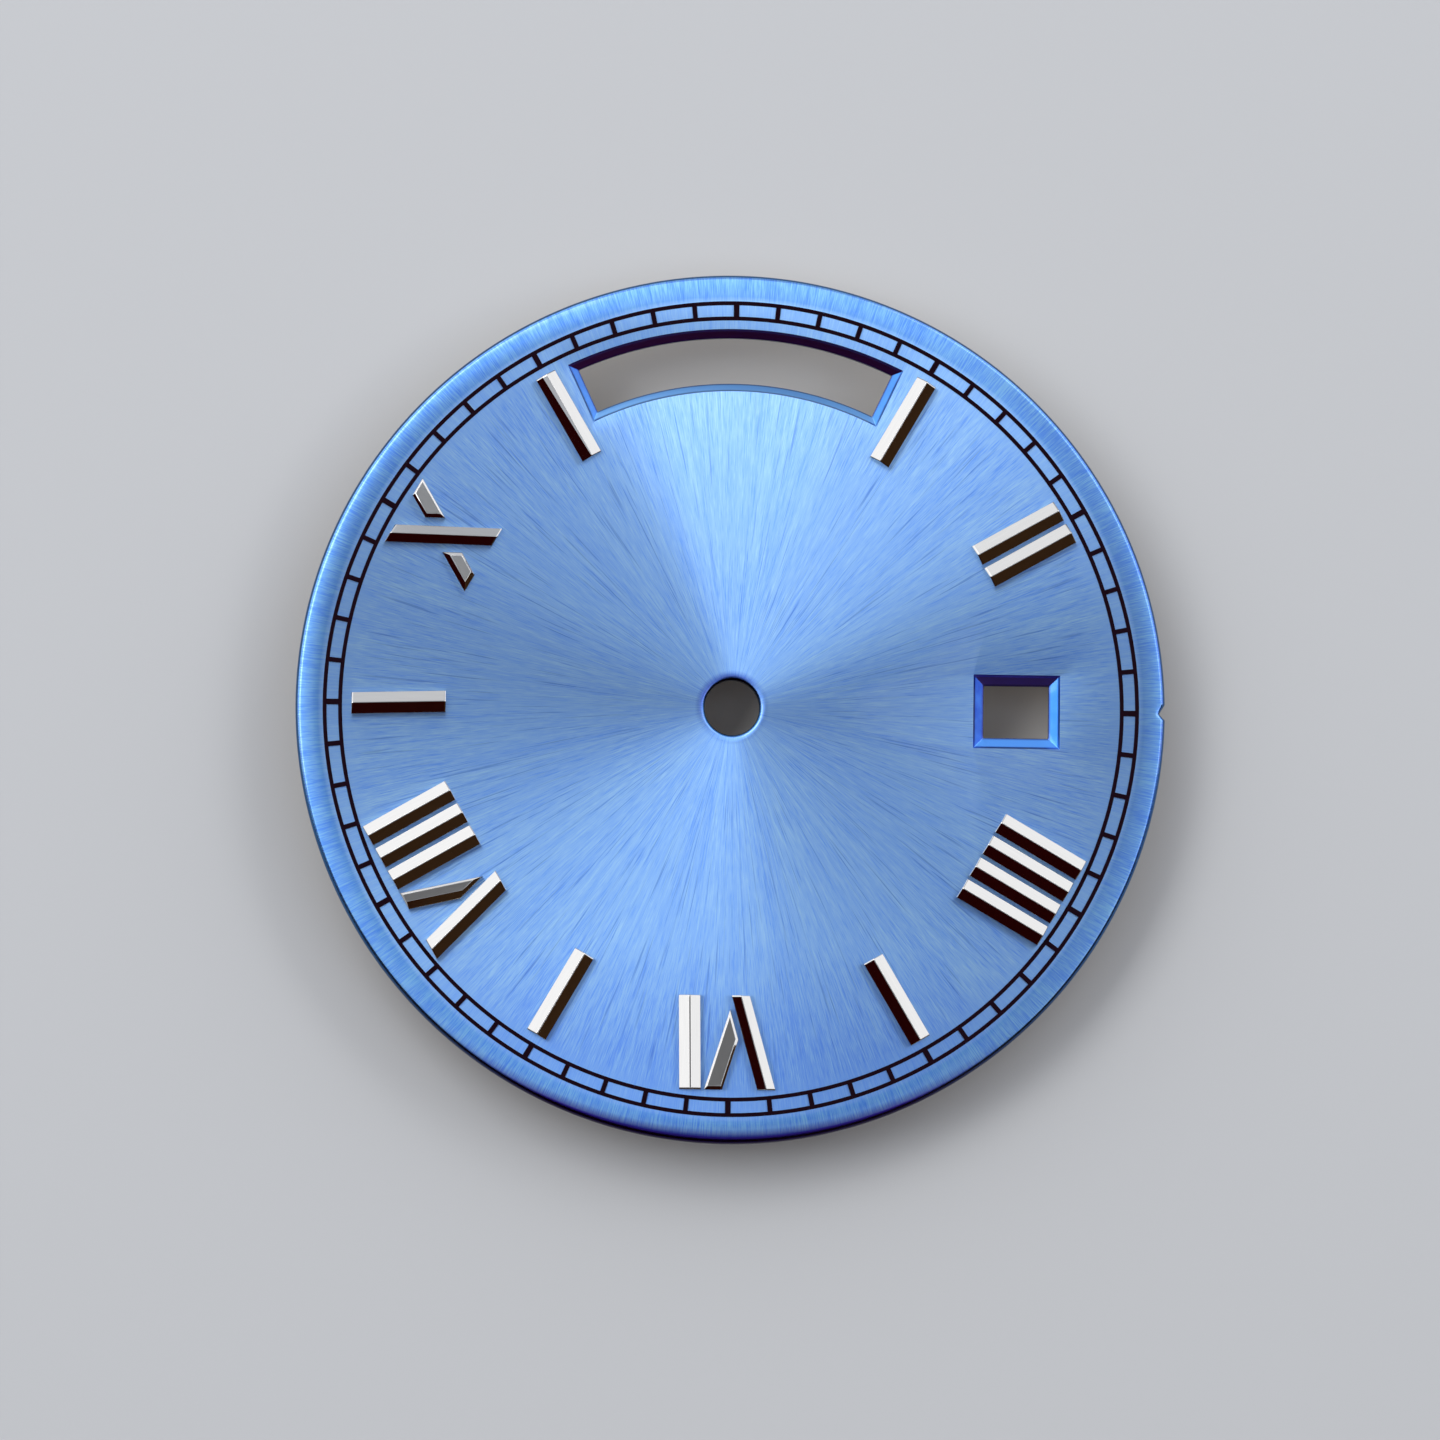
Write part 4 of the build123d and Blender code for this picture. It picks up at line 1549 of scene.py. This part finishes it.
@dataclass
class DialPlate:
    """The plate: its brushed face, hand hole, windows, rim with the notch, and bare back."""

    radius: float = 15.75
    thick: float = 0.5
    hole_radius: float = 1.0
    lip_wide: float = 0.26
    lip_deep: float = 0.11
    rim_wide: float = 0.9
    rim_round: float = 0.25
    rim_slope: float = 12.0
    edge_break: float = 0.04
    notch_depth: float = 0.2
    notch_upper: float = 0.33
    notch_lower: float = 0.2
    notch_soft: float = 0.025
    notch_reach: float = 0.35
    notch_root: float = 0.006
    notch_root_lift: float = 0.077
    notch_span: float = 2.2
    notch_columns: int = 61
    rim_columns: int = 661
    arc_points: int = 14
    shoulder_points: int = 18
    lip_points: int = 16
    date_centre: float = 10.32
    date_long: float = 2.37
    date_wide: float = 1.89
    date_bevel: float = 0.385
    date_corner: float = 0.05
    date_steps: int = 6
    day_outer: float = 13.453
    day_wide: float = 1.655
    day_half_angle: float = 25.0
    day_bevel: float = 0.3
    day_corner: float = 0.03
    day_corner_steps: int = 4
    day_long_steps: int = 96
    day_end_steps: int = 6
    bevel_deep: float = 0.3
    bevel_corner: float = 0.02
    bevel_foot_wide: float = 0.02
    bevel_support: float = 0.012
    # How far each level of a bevel's top lies outside the bevel, and how far below the face.
    bevel_top: tuple[tuple[float, float], ...] = (
        (0.02, 0.0),
        (0.008, 0.003),
        (0.0, 0.012),
        (-0.06, 0.102),
        (-0.072, 0.112),
    )
    # How far each level of a bevel's foot lies outside the opening, and how far above the bevel's depth.
    bevel_foot: tuple[tuple[float, float], ...] = ((0.018, 0.014), (0.004, 0.0), (0.0, -0.014), (0.0, -0.026))
    foot_hole: float = 0.16
    pin_circle: float = 12.9
    pin_bearings: tuple[float, ...] = (107.0, 284.0)
    recess_radius: float = 0.78
    recess_deep: float = 0.15

    def turns(self) -> np.ndarray:
        """Angles of the rim's columns: close together across the notch, wider round the rest.

        Returns:
            The angles in radians, anticlockwise.
        """
        near = self.notch_span * self.notch_upper / self.radius
        dense = np.linspace(-near, near, self.notch_columns)
        rest = np.linspace(near, FULL_TURN - near, self.rim_columns)[1:-1]
        return np.concatenate([dense, rest])

    def notch(self, turns: np.ndarray) -> np.ndarray:
        """How deep the notch cuts at each angle.

        The cut falls off along a straight flank on either side of 3 o'clock, the upper one longer.
        The root of a square plus a small square rounds the bottom and the top.

        Args:
            turns: Angles in radians.

        Returns:
            Depths in millimetres.
        """
        along = (turns + math.pi) % FULL_TURN - math.pi
        reach = np.where(along > 0, self.notch_upper, self.notch_lower) / self.radius
        flank = 1 - (np.sqrt((along / reach) ** 2 + self.notch_root) - self.notch_root_lift)
        return self.notch_depth * (flank + np.sqrt(flank**2 + self.notch_soft**2)) / 2

    def rim_profile(self) -> np.ndarray:
        """Section of the rim: a shallow arc, a rounded shoulder, the edge and its broken corner.

        Returns:
            Points with radius and height, from the face down to the back.
        """
        slope = math.radians(self.rim_slope)
        flat = self.radius - self.rim_wide
        shoulder = self.radius - self.rim_round * (1 - math.sin(slope))
        bend = (shoulder - flat) / math.sin(slope)
        first = np.linspace(0, slope, self.arc_points)
        arc = np.column_stack([flat + bend * np.sin(first), self.thick - bend * (1 - np.cos(first))])
        second = np.linspace(slope, math.pi / 2, self.shoulder_points)[1:]
        middle = arc[-1, 1] - self.rim_round * math.cos(slope)
        outer = self.radius - self.rim_round
        rounded = np.column_stack(
            [outer + self.rim_round * np.sin(second), middle + self.rim_round * np.cos(second)]
        )
        ends = np.array([(self.radius, self.edge_break), (self.radius - self.edge_break, 0.0)])
        return np.concatenate([arc, rounded, ends])

    def rim(self) -> np.ndarray:
        """Rows of points round the rim: the section carried round the axis, drawn in at the notch.

        Within the notch's reach of the edge, a point's radius is drawn in by a share of the notch's
        depth that grows evenly to the whole of it at the edge.

        Returns:
            Rows from the face to the back, each with one point per angle.
        """
        profile, turns = self.rim_profile(), self.turns()
        depth = self.notch(turns)
        start = self.radius - self.notch_reach
        past = np.clip(profile[:, 0] - start, 0, None) / self.notch_reach
        radius = profile[:, :1] - past[:, None] * depth[None, :]
        height = np.broadcast_to(profile[:, 1:], radius.shape)
        return np.stack([radius * np.cos(turns), radius * np.sin(turns), height], axis=-1)

    def date_outline(self, grow: float) -> np.ndarray:
        """Outline of the date window, grown by a distance on all sides.

        The opening's corners are a little rounder than those of the bevel round it.

        Args:
            grow: How far every side moves outwards.

        Returns:
            The outline's points.
        """
        corner = self.date_corner if grow <= self.bevel_foot_wide else self.bevel_corner
        half_long, half_wide = self.date_long / 2 + grow, self.date_wide / 2 + grow
        box = rounded_box(half_long, half_wide, corner, self.date_steps, self.date_steps, self.date_steps)
        return box + np.array([self.date_centre, 0.0])

    def day_outline(self, grow: float) -> np.ndarray:
        """Outline of the day window, grown by a distance on all sides.

        A box with rounded corners is bent round the axis: its Y becomes the radius, and its X the
        angle, so that the grown ends stay parallel to the radial ones.

        Args:
            grow: How far every side moves outwards.

        Returns:
            The outline's points.
        """
        middle = self.day_outer - self.day_wide / 2
        half_angle = math.radians(self.day_half_angle)
        half_long = half_angle * middle + grow
        steps = (self.day_corner_steps, self.day_long_steps, self.day_end_steps)
        box = rounded_box(half_long, self.day_wide / 2 + grow, self.day_corner, *steps)
        radius = middle + box[:, 1]
        angle = box[:, 0] / half_long * (half_angle + np.arcsin(grow / radius))
        return np.column_stack([radius * np.sin(angle), radius * np.cos(angle)])

    def window_levels(self, bevel: float) -> np.ndarray:
        """Levels of a window's wall, from the face down to the back.

        The face rolls over a little, drops by a small step, and the bevel runs from there to the
        opening, whose wall goes straight down. A level just inside either end of the bevel, at a
        small distance along its slope, keeps its shading flat.

        Args:
            bevel: Width of the bevel.

        Returns:
            Growth and height of each level.
        """
        upper = np.array([bevel, self.thick]) + np.array(self.bevel_top) * (1, -1)
        lower = np.array([0.0, self.thick - self.bevel_deep]) + np.array(self.bevel_foot)
        top, foot = upper[-1], lower[0]
        slope = (foot - top) / np.linalg.norm(foot - top) * self.bevel_support
        return np.vstack([upper, top + slope, foot - slope, lower, (0.0, 0.0)])

    def add_window(self, shell: Shell, outline: Callable[[float], np.ndarray], bevel: float) -> None:
        """Adds a window's wall: its outline at every level.

        Args:
            shell: Shell that gets the patches.
            outline: Gives the window's outline for a growth.
            bevel: Width of the bevel.
        """
        rows = np.stack([lifted(outline(grow), height) for grow, height in self.window_levels(bevel)])
        shell.grid(rows[:2], PlateFinish.BRUSHED)
        shell.grid(rows[1:], PlateFinish.BEVEL)

    def lip(self) -> np.ndarray:
        """Rows of points down the hand hole: a soft quarter ellipse, then the straight wall.

        Returns:
            Rows from the face to the back, each a circle.
        """
        turn = np.linspace(0, math.pi / 2, self.lip_points)
        radius = self.hole_radius + self.lip_wide * (1 - np.sin(turn))
        height = self.thick - self.lip_deep * (1 - np.cos(turn))
        levels = [*zip(radius, height), (self.hole_radius, 0.0)]
        return np.stack([lifted(circle(r, HAND_HOLE_STEPS), z) for r, z in levels])

    def pins(self) -> np.ndarray:
        """Places of the dial feet, by bearing from 12 o'clock on their circle."""
        bearing = np.radians(self.pin_bearings)
        return self.pin_circle * np.column_stack([np.sin(bearing), np.cos(bearing)])

    def build(self, feet: np.ndarray, finishes: list[bpy.types.Material]) -> bpy.types.Object:
        """Builds the plate as one closed mesh.

        Args:
            feet: Places of the applied strokes' feet, each of which gets a hole.
            finishes: The brushed face's, the bevels' and the back's.

        Returns:
            The piece.
        """
        shell = Shell()
        rim, lip = self.rim(), self.lip()
        shell.grid(rim[:-1], PlateFinish.BRUSHED)
        shell.grid(rim[-2:], PlateFinish.BARE)
        shell.grid(lip, PlateFinish.BRUSHED)
        self.add_window(shell, self.date_outline, self.date_bevel)
        self.add_window(shell, self.day_outline, self.day_bevel)
        holes = [circle(self.foot_hole, STROKE_FOOT_STEPS, tuple(foot)) for foot in feet]
        for hole in holes:
            shell.grid(np.stack([lifted(hole, self.thick), lifted(hole, 0.0)]), PlateFinish.BARE)
        recesses = [circle(self.recess_radius, DIAL_FOOT_STEPS, tuple(pin)) for pin in self.pins()]
        for recess in recesses:
            rows = np.stack([lifted(recess, self.recess_deep), lifted(recess, 0.0)])
            shell.grid(rows, PlateFinish.BARE)
            shell.cap(rows[0], PlateFinish.BARE)
        roll = self.bevel_top[0][0]
        windows = [self.date_outline(self.date_bevel + roll), self.day_outline(self.day_bevel + roll)]
        points, faces = pierced_face(rim[0, :, :2], [lip[0, :, :2], *windows, *holes])
        shell.patch(lifted(points, self.thick), faces, PlateFinish.BRUSHED)
        windows = [self.date_outline(0.0), self.day_outline(0.0)]
        points, faces = pierced_face(rim[-1, :, :2], [lip[-1, :, :2], *windows, *holes, *recesses])
        shell.patch(lifted(points, 0.0), faces, PlateFinish.BARE)
        return seat(shell.build("lacquered_dial_plate", finishes), "dial_plate")


@dataclass
class MinuteTrack:
    """The printed track: two rings and a tick at each minute, thicker at the hours."""

    outer_ring: float = 14.70
    inner_ring: float = 14.143
    ring_line: float = 0.14
    tick_line: float = 0.17
    hour_tick_line: float = 0.2
    ink: float = 0.03
    gap_steps: int = 8

    def build(self, face: float, ink: bpy.types.Material) -> bpy.types.Object:
        """Builds the track as one raised print.

        The print is cells of a grid: four radii across, and for each minute the two sides of its
        tick and even steps to the next. A tick's sides are parallel, so at each radius its half
        angle is the arc sine of its half width over the radius. Cells of the rings and ticks get a
        top and a bottom, and every side of a filled cell that borders an empty one gets a wall.

        Args:
            face: Height of the dial's face.
            ink: The print's finish.

        Returns:
            The piece.
        """
        half_ring = self.ring_line / 2
        radii = np.array(
            [
                self.inner_ring - half_ring,
                self.inner_ring + half_ring,
                self.outer_ring - half_ring,
                self.outer_ring + half_ring,
            ]
        )
        minute = np.arange(MINUTES)
        half_tick = np.where(minute % (MINUTES // HOURS) == 0, self.hour_tick_line, self.tick_line) / 2
        half_angle = np.arcsin(half_tick[:, None] / radii[None, :])
        step = FULL_TURN / MINUTES
        share = np.linspace(0, 1, self.gap_steps + 1)[:-1]
        start = minute[:, None] * step + half_angle
        end = (minute[:, None] + 1) * step - np.roll(half_angle, -1, axis=0)
        gaps = start[:, None, :] + (end - start)[:, None, :] * share[None, :, None]
        columns = np.concatenate([(minute[:, None] * step - half_angle)[:, None, :], gaps], axis=1)
        angles = columns.reshape(-1, len(radii))
        filled = np.zeros((len(angles), len(radii) - 1), dtype=bool)
        filled[:, [0, -1]] = True
        filled[:: self.gap_steps + 1, 1] = True
        flat = np.stack([radii * np.cos(angles), radii * np.sin(angles)], axis=-1)
        shell = Shell()
        self.add_cells(shell, flat, filled, (face, face + self.ink))
        return seat(shell.build("printed_minute_track", [ink]), "minute_track")

    @staticmethod
    def add_cells(
        shell: Shell, flat: np.ndarray, filled: np.ndarray, heights: tuple[float, float]
    ) -> None:
        """Adds the filled cells of a grid as a slab.

        Args:
            shell: Shell that gets the patches.
            flat: Grid points with X and Y; its first axis closes on itself.
            filled: Whether each cell is filled.
            heights: Heights of the slab's bottom and top.
        """
        rows, columns = flat.shape[:2]
        number = np.arange(rows * columns).reshape(rows, columns)
        after = np.roll(number, -1, axis=0)
        size = rows * columns
        cells = np.stack([number[:, :-1], number[:, 1:], after[:, 1:], after[:, :-1]], axis=-1)[filled]
        walls = []
        inner = np.pad(filled, ((0, 0), (1, 1)))
        for side in (0, 1):
            border = inner[:, side : side + columns] & ~inner[:, 1 - side : 1 - side + columns]
            walls.append(np.stack([number[border], after[border]], axis=-1))
        before = np.roll(filled, 1, axis=0)
        for border in (filled & ~before, before & ~filled):
            walls.append(np.stack([number[:, :-1][border], number[:, 1:][border]], axis=-1))
        edge = np.concatenate(walls)
        sides = np.column_stack([edge, edge[:, ::-1] + size])
        points = np.concatenate([lifted(flat.reshape(-1, 2), z) for z in heights])
        shell.patch(points, np.concatenate([cells, cells + size, sides]))


@dataclass
class DialFoot:
    """A headed pin: the head flush in the back of the plate, the pin standing out behind it."""

    node: str
    place: np.ndarray
    head_radius: float = 0.75
    head_thick: float = 0.15
    head_break: float = 0.012
    pin_radius: float = 0.37
    pin_reach: float = 2.2
    tip_break: float = 0.1
    root_round: float = 0.06
    round_points: int = 6

    def build(self, metal: bpy.types.Material) -> bpy.types.Object:
        """Builds the foot: its section carried round its own axis.

        Args:
            metal: The foot's finish.

        Returns:
            The piece.
        """
        turn = np.linspace(0, math.pi / 2, self.round_points)
        root_radius = self.pin_radius + self.root_round * (1 - np.sin(turn))
        root_height = -self.root_round * (1 - np.cos(turn))
        tip_radius = self.pin_radius - self.tip_break * (1 - np.cos(turn))
        tip_height = -self.pin_reach + self.tip_break * (1 - np.sin(turn))
        head = [
            (self.head_radius, self.head_thick),
            (self.head_radius, self.head_break),
            (self.head_radius - self.head_break, 0.0),
        ]
        levels = [*head, *zip(root_radius, root_height), *zip(tip_radius, tip_height)]
        rows = np.stack([lifted(circle(r, DIAL_FOOT_STEPS, tuple(self.place)), z) for r, z in levels])
        shell = Shell()
        shell.grid(rows)
        shell.cap(rows[0])
        shell.cap(rows[-1])
        return seat(shell.build(f"turned_{self.node}", [metal]), self.node)


# Studio


@dataclass(frozen=True)
class SoftBox:
    """A soft lamp that faces the dial and fills a range of directions as the dial sees it.

    Its distance is in metres.
    """

    name: str
    azimuth: float
    half_azimuth: float
    low: float
    high: float
    radiance: float
    colour: str = "#FFFCF8"
    distance: float = 0.55

    def build(self) -> bpy.types.Object:
        """Makes the lamp: a rectangle whose power gives the stated radiance.

        It stands at the middle of its range, faces the dial, and measures twice its distance times
        the tangent of half the range, upright and across, less by the cosine of its elevation
        across. Its power is the radiance times pi and the area.

        Returns:
            The lamp's object.
        """
        turn, lift = math.radians(self.azimuth), math.radians((self.low + self.high) / 2)
        towards = Vector((math.cos(turn) * math.cos(lift), math.sin(turn) * math.cos(lift), math.sin(lift)))
        width = 2 * self.distance * math.cos(lift) * math.tan(math.radians(self.half_azimuth))
        height = 2 * self.distance * math.tan(math.radians((self.high - self.low) / 2))
        lamp = bpy.data.lights.new(self.name, "AREA")
        lamp.shape = "RECTANGLE"
        lamp.size, lamp.size_y = width, height
        lamp.energy = self.radiance * math.pi * width * height
        lamp.color = linear(self.colour)[:3]
        box = bpy.data.objects.new(self.name, lamp)
        box.location = towards * self.distance
        box.rotation_euler = towards.to_track_quat("Z", "Y").to_euler()
        box.visible_camera = False
        bpy.context.scene.collection.objects.link(box)
        return box


@dataclass
class Studio:
    """Floor, cards, lamps, world and camera. None of it belongs to the dial.

    Distances are in metres, other than the floor's height and the eye's place, in millimetres. The
    aim is a rotation vector in radians.
    """

    floor_height: float = -2.2
    floor_half: float = 1.5
    floor_colour: str = "#BCBFC3"
    world_colour: str = "#D4D7DE"
    world_strength: float = 1.0
    card_radius: float = 0.62
    card_from: float = 190.0
    card_to: float = 357.0
    card_low: float = 35.0
    card_high: float = 70.0
    card_swell: float = 1.4
    card_columns: int = 33
    card_rows: int = 13
    card_red: str = "#330606"
    card_brown: str = "#4C3420"
    card_change: tuple[float, float] = (0.0, 0.2)
    overhead_height: float = 0.6
    overhead_half: float = 0.11
    overhead_near: str = "#A4A4A5"
    overhead_far: str = "#D2D4D7"
    overhead_change: tuple[float, float] = (0.03, 0.06)
    eye: tuple[float, float, float] = (-14.7266, -18.1747, 252.2735)
    aim: tuple[float, float, float] = (-0.0698055, 0.0570696, -0.0131150)
    lens: float = 175.0
    sensor: float = 36.0
    clips: tuple[float, float] = (0.01, 10.0)

    def sheet(self, name: str, points: np.ndarray, material: bpy.types.Material) -> bpy.types.Object:
        """Makes an open sheet of quads from a grid of points in metres.

        Args:
            name: Name of the object.
            points: Rows of points.
            material: Its material.

        Returns:
            The object.
        """
        rows, columns = points.shape[:2]
        row, column = np.meshgrid(np.arange(rows - 1), np.arange(columns - 1), indexing="ij")
        first = row * columns + column
        faces = np.stack([first, first + 1, first + columns + 1, first + columns], axis=-1).reshape(-1, 4)
        mesh = bpy.data.meshes.new(name)
        mesh.from_pydata(points.reshape(-1, 3).tolist(), [], faces.tolist())
        mesh.materials.append(material)
        made = bpy.data.objects.new(name, mesh)
        bpy.context.scene.collection.objects.link(made)
        return made

    def paper(self, name: str, colour: str) -> bpy.types.Material:
        """Makes plain matt paper in one colour.

        Args:
            name: Name of the material.
            colour: Its sRGB hex colour.

        Returns:
            The material.
        """
        material, tree = empty_material(name)
        inputs = {"Base Color": linear(colour), "Roughness": 1.0, "Specular IOR Level": 0.0}
        shader = add_node(tree, "ShaderNodeBsdfPrincipled", inputs)
        add_node(tree, "ShaderNodeOutputMaterial", {"Surface": shader.outputs[0]})
        return material

    def build_floor(self) -> None:
        """Makes the plain pale floor at the tips of the dial feet."""
        half = self.floor_half
        x, y = np.meshgrid(np.linspace(-half, half, 2), np.linspace(-half, half, 2))
        points = np.stack([x, y, np.full(x.shape, self.floor_height * MM)], axis=-1)
        self.sheet("floor", points, self.paper("floor_paper", self.floor_colour))

    def two_tone(
        self, name: str, way: Way, change: tuple[float, float], colours: tuple[str, str]
    ) -> bpy.types.Material:
        """Makes matt paper that goes from one colour to another.

        Args:
            name: Name of the material.
            way: The way in which it changes.
            change: Where the change begins and ends, in metres.
            colours: The sRGB hex colours before and after it.

        Returns:
            The material.
        """
        material, tree = empty_material(name)
        place = add_node(tree, "ShaderNodeTexCoord").outputs["Object"]
        along = add_node(tree, "ShaderNodeSeparateXYZ", {0: place}).outputs[way.value]
        share = add_node(tree, "ShaderNodeMapRange", {0: along, 1: change[0], 2: change[1]}).outputs[0]
        inputs = {0: share, 6: linear(colours[0]), 7: linear(colours[1])}
        colour = add_node(tree, "ShaderNodeMix", inputs, data_type="RGBA").outputs[2]
        shader = add_node(tree, "ShaderNodeBsdfDiffuse", {"Color": colour})
        add_node(tree, "ShaderNodeOutputMaterial", {"Surface": shader.outputs[0]})
        return material

    def build_cards(self) -> None:
        """Makes a dark card on the reader's side and a grey one overhead, which the camera doesn't see.

        The dark card is part of a sphere: its top edge rises from its low to its high elevation as
        a power of the sine of the way along it. It goes from dark red on the left to olive brown.
        """
        along = np.linspace(0, 1, self.card_columns)
        turn = np.radians(self.card_from + (self.card_to - self.card_from) * along)
        rise = np.sin(math.pi * along) ** self.card_swell
        top = self.card_low + (self.card_high - self.card_low) * rise
        lift = np.radians(np.linspace(0, 1, self.card_rows)[:, None] * top[None, :])
        dark = self.card_radius * np.stack(
            [np.cos(turn) * np.cos(lift), np.sin(turn) * np.cos(lift), np.sin(lift)], axis=-1
        )
        tones = (self.card_red, self.card_brown)
        paper = self.two_tone("dark_paper", Way.TO_THE_RIGHT, self.card_change, tones)
        self.sheet("dark_card", dark, paper).visible_camera = False
        half = self.overhead_half
        x, y = np.meshgrid(np.linspace(-half, half, 2), np.linspace(-half, half, 2))
        over = np.stack([x, y, np.full(x.shape, self.overhead_height)], axis=-1)
        tones = (self.overhead_near, self.overhead_far)
        paper = self.two_tone("grey_paper", Way.AWAY, self.overhead_change, tones)
        self.sheet("overhead_card", over, paper).visible_camera = False

    def build_lamps(self) -> None:
        """Makes the soft lamps: their middles, half widths, lower and upper edges, and radiances."""
        for box in (
            SoftBox("left_edge_box", 95, 5.5, 0.5, 40, 0.25),
            SoftBox("left_side_low_box", 107, 7, 0.5, 40, 0.6),
            SoftBox("left_side_high_box", 107, 7, 40, 61, 2.2),
            SoftBox("far_high_box", 84, 16, 40, 61, 0.25),
            SoftBox("left_low_box", 149, 35, 0.5, 40, 0.9),
            SoftBox("left_high_box", 149, 35, 40, 61, 4.5),
            SoftBox("right_low_box", 32.75, 35.25, 2, 36, 0.78),
            SoftBox("right_high_box", 32.75, 35.25, 36, 48, 3.2),
            SoftBox("right_near_box", -20, 17.5, 42, 54, 1.7),
        ):
            box.build()

    def build_world(self) -> None:
        """Makes the even pale surroundings."""
        world = bpy.data.worlds.new("pale_surroundings")
        world.use_nodes = True
        world.node_tree.nodes.clear()
        glow = add_node(
            world.node_tree,
            "ShaderNodeBackground",
            {"Color": linear(self.world_colour), "Strength": self.world_strength},
        )
        add_node(world.node_tree, "ShaderNodeOutputWorld", {"Surface": glow.outputs[0]})
        bpy.context.scene.world = world

    def build_camera(self) -> None:
        """Makes the camera at the photograph's place, turned by its rotation vector."""
        camera = bpy.data.cameras.new("camera")
        camera.sensor_width = self.sensor
        camera.sensor_fit = "HORIZONTAL"
        camera.lens = self.lens
        camera.clip_start, camera.clip_end = self.clips
        made = bpy.data.objects.new("camera", camera)
        turn = Vector(self.aim)
        made.rotation_mode = "QUATERNION"
        made.rotation_quaternion = Quaternion(turn.normalized(), turn.length).inverted()
        made.location = Vector(self.eye) * MM
        bpy.context.scene.collection.objects.link(made)
        bpy.context.scene.camera = made

    def build(self) -> None:
        """Builds the whole studio."""
        self.build_camera()
        self.build_floor()
        self.build_cards()
        self.build_lamps()
        self.build_world()
        bpy.context.scene.view_settings.view_transform = "Standard"


def report_fit(pieces: list[bpy.types.Object]) -> None:
    """Logs how far each piece's box differs from that of the node it stands for.

    Args:
        pieces: The finished pieces.
    """
    for piece in pieces:
        low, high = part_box(piece["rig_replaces"][0])
        places = np.empty(len(piece.data.vertices) * 3)
        piece.data.vertices.foreach_get("co", places)
        places = places.reshape(-1, 3)
        misses = np.abs([places.min(0) - np.array(low), places.max(0) - np.array(high)])
        LOG.info("%s differs from its node by %.3f mm", piece.name, misses.max() / MM)


def main() -> None:
    """Builds the dial's pieces in order, from the plate outwards, and then the studio."""
    logging.basicConfig(level=logging.INFO, format="%(name)s: %(message)s")
    plate, numerals, track = DialPlate(), Numerals(), MinuteTrack()
    finishes: list[Finish] = [BrushedLacquer(), SmoothLacquer(), TurnedBrass()]
    feet = np.concatenate([stroke.to_dial(stroke.feet) for stroke in numerals.strokes()])
    pieces = [
        plate.build(feet, [finish.material() for finish in finishes]),
        track.build(plate.thick, PrintedInk().material()),
    ]
    pieces += numerals.build(plate.thick, MirrorPlating().material())
    pin_metal = TurnedPin().material()
    for letter, place in zip("ab", plate.pins()):
        pieces.append(DialFoot(f"dial_foot_{letter}", place).build(pin_metal))
    report_fit(pieces)
    Studio().build()


if __name__ == "__main__":
    main()
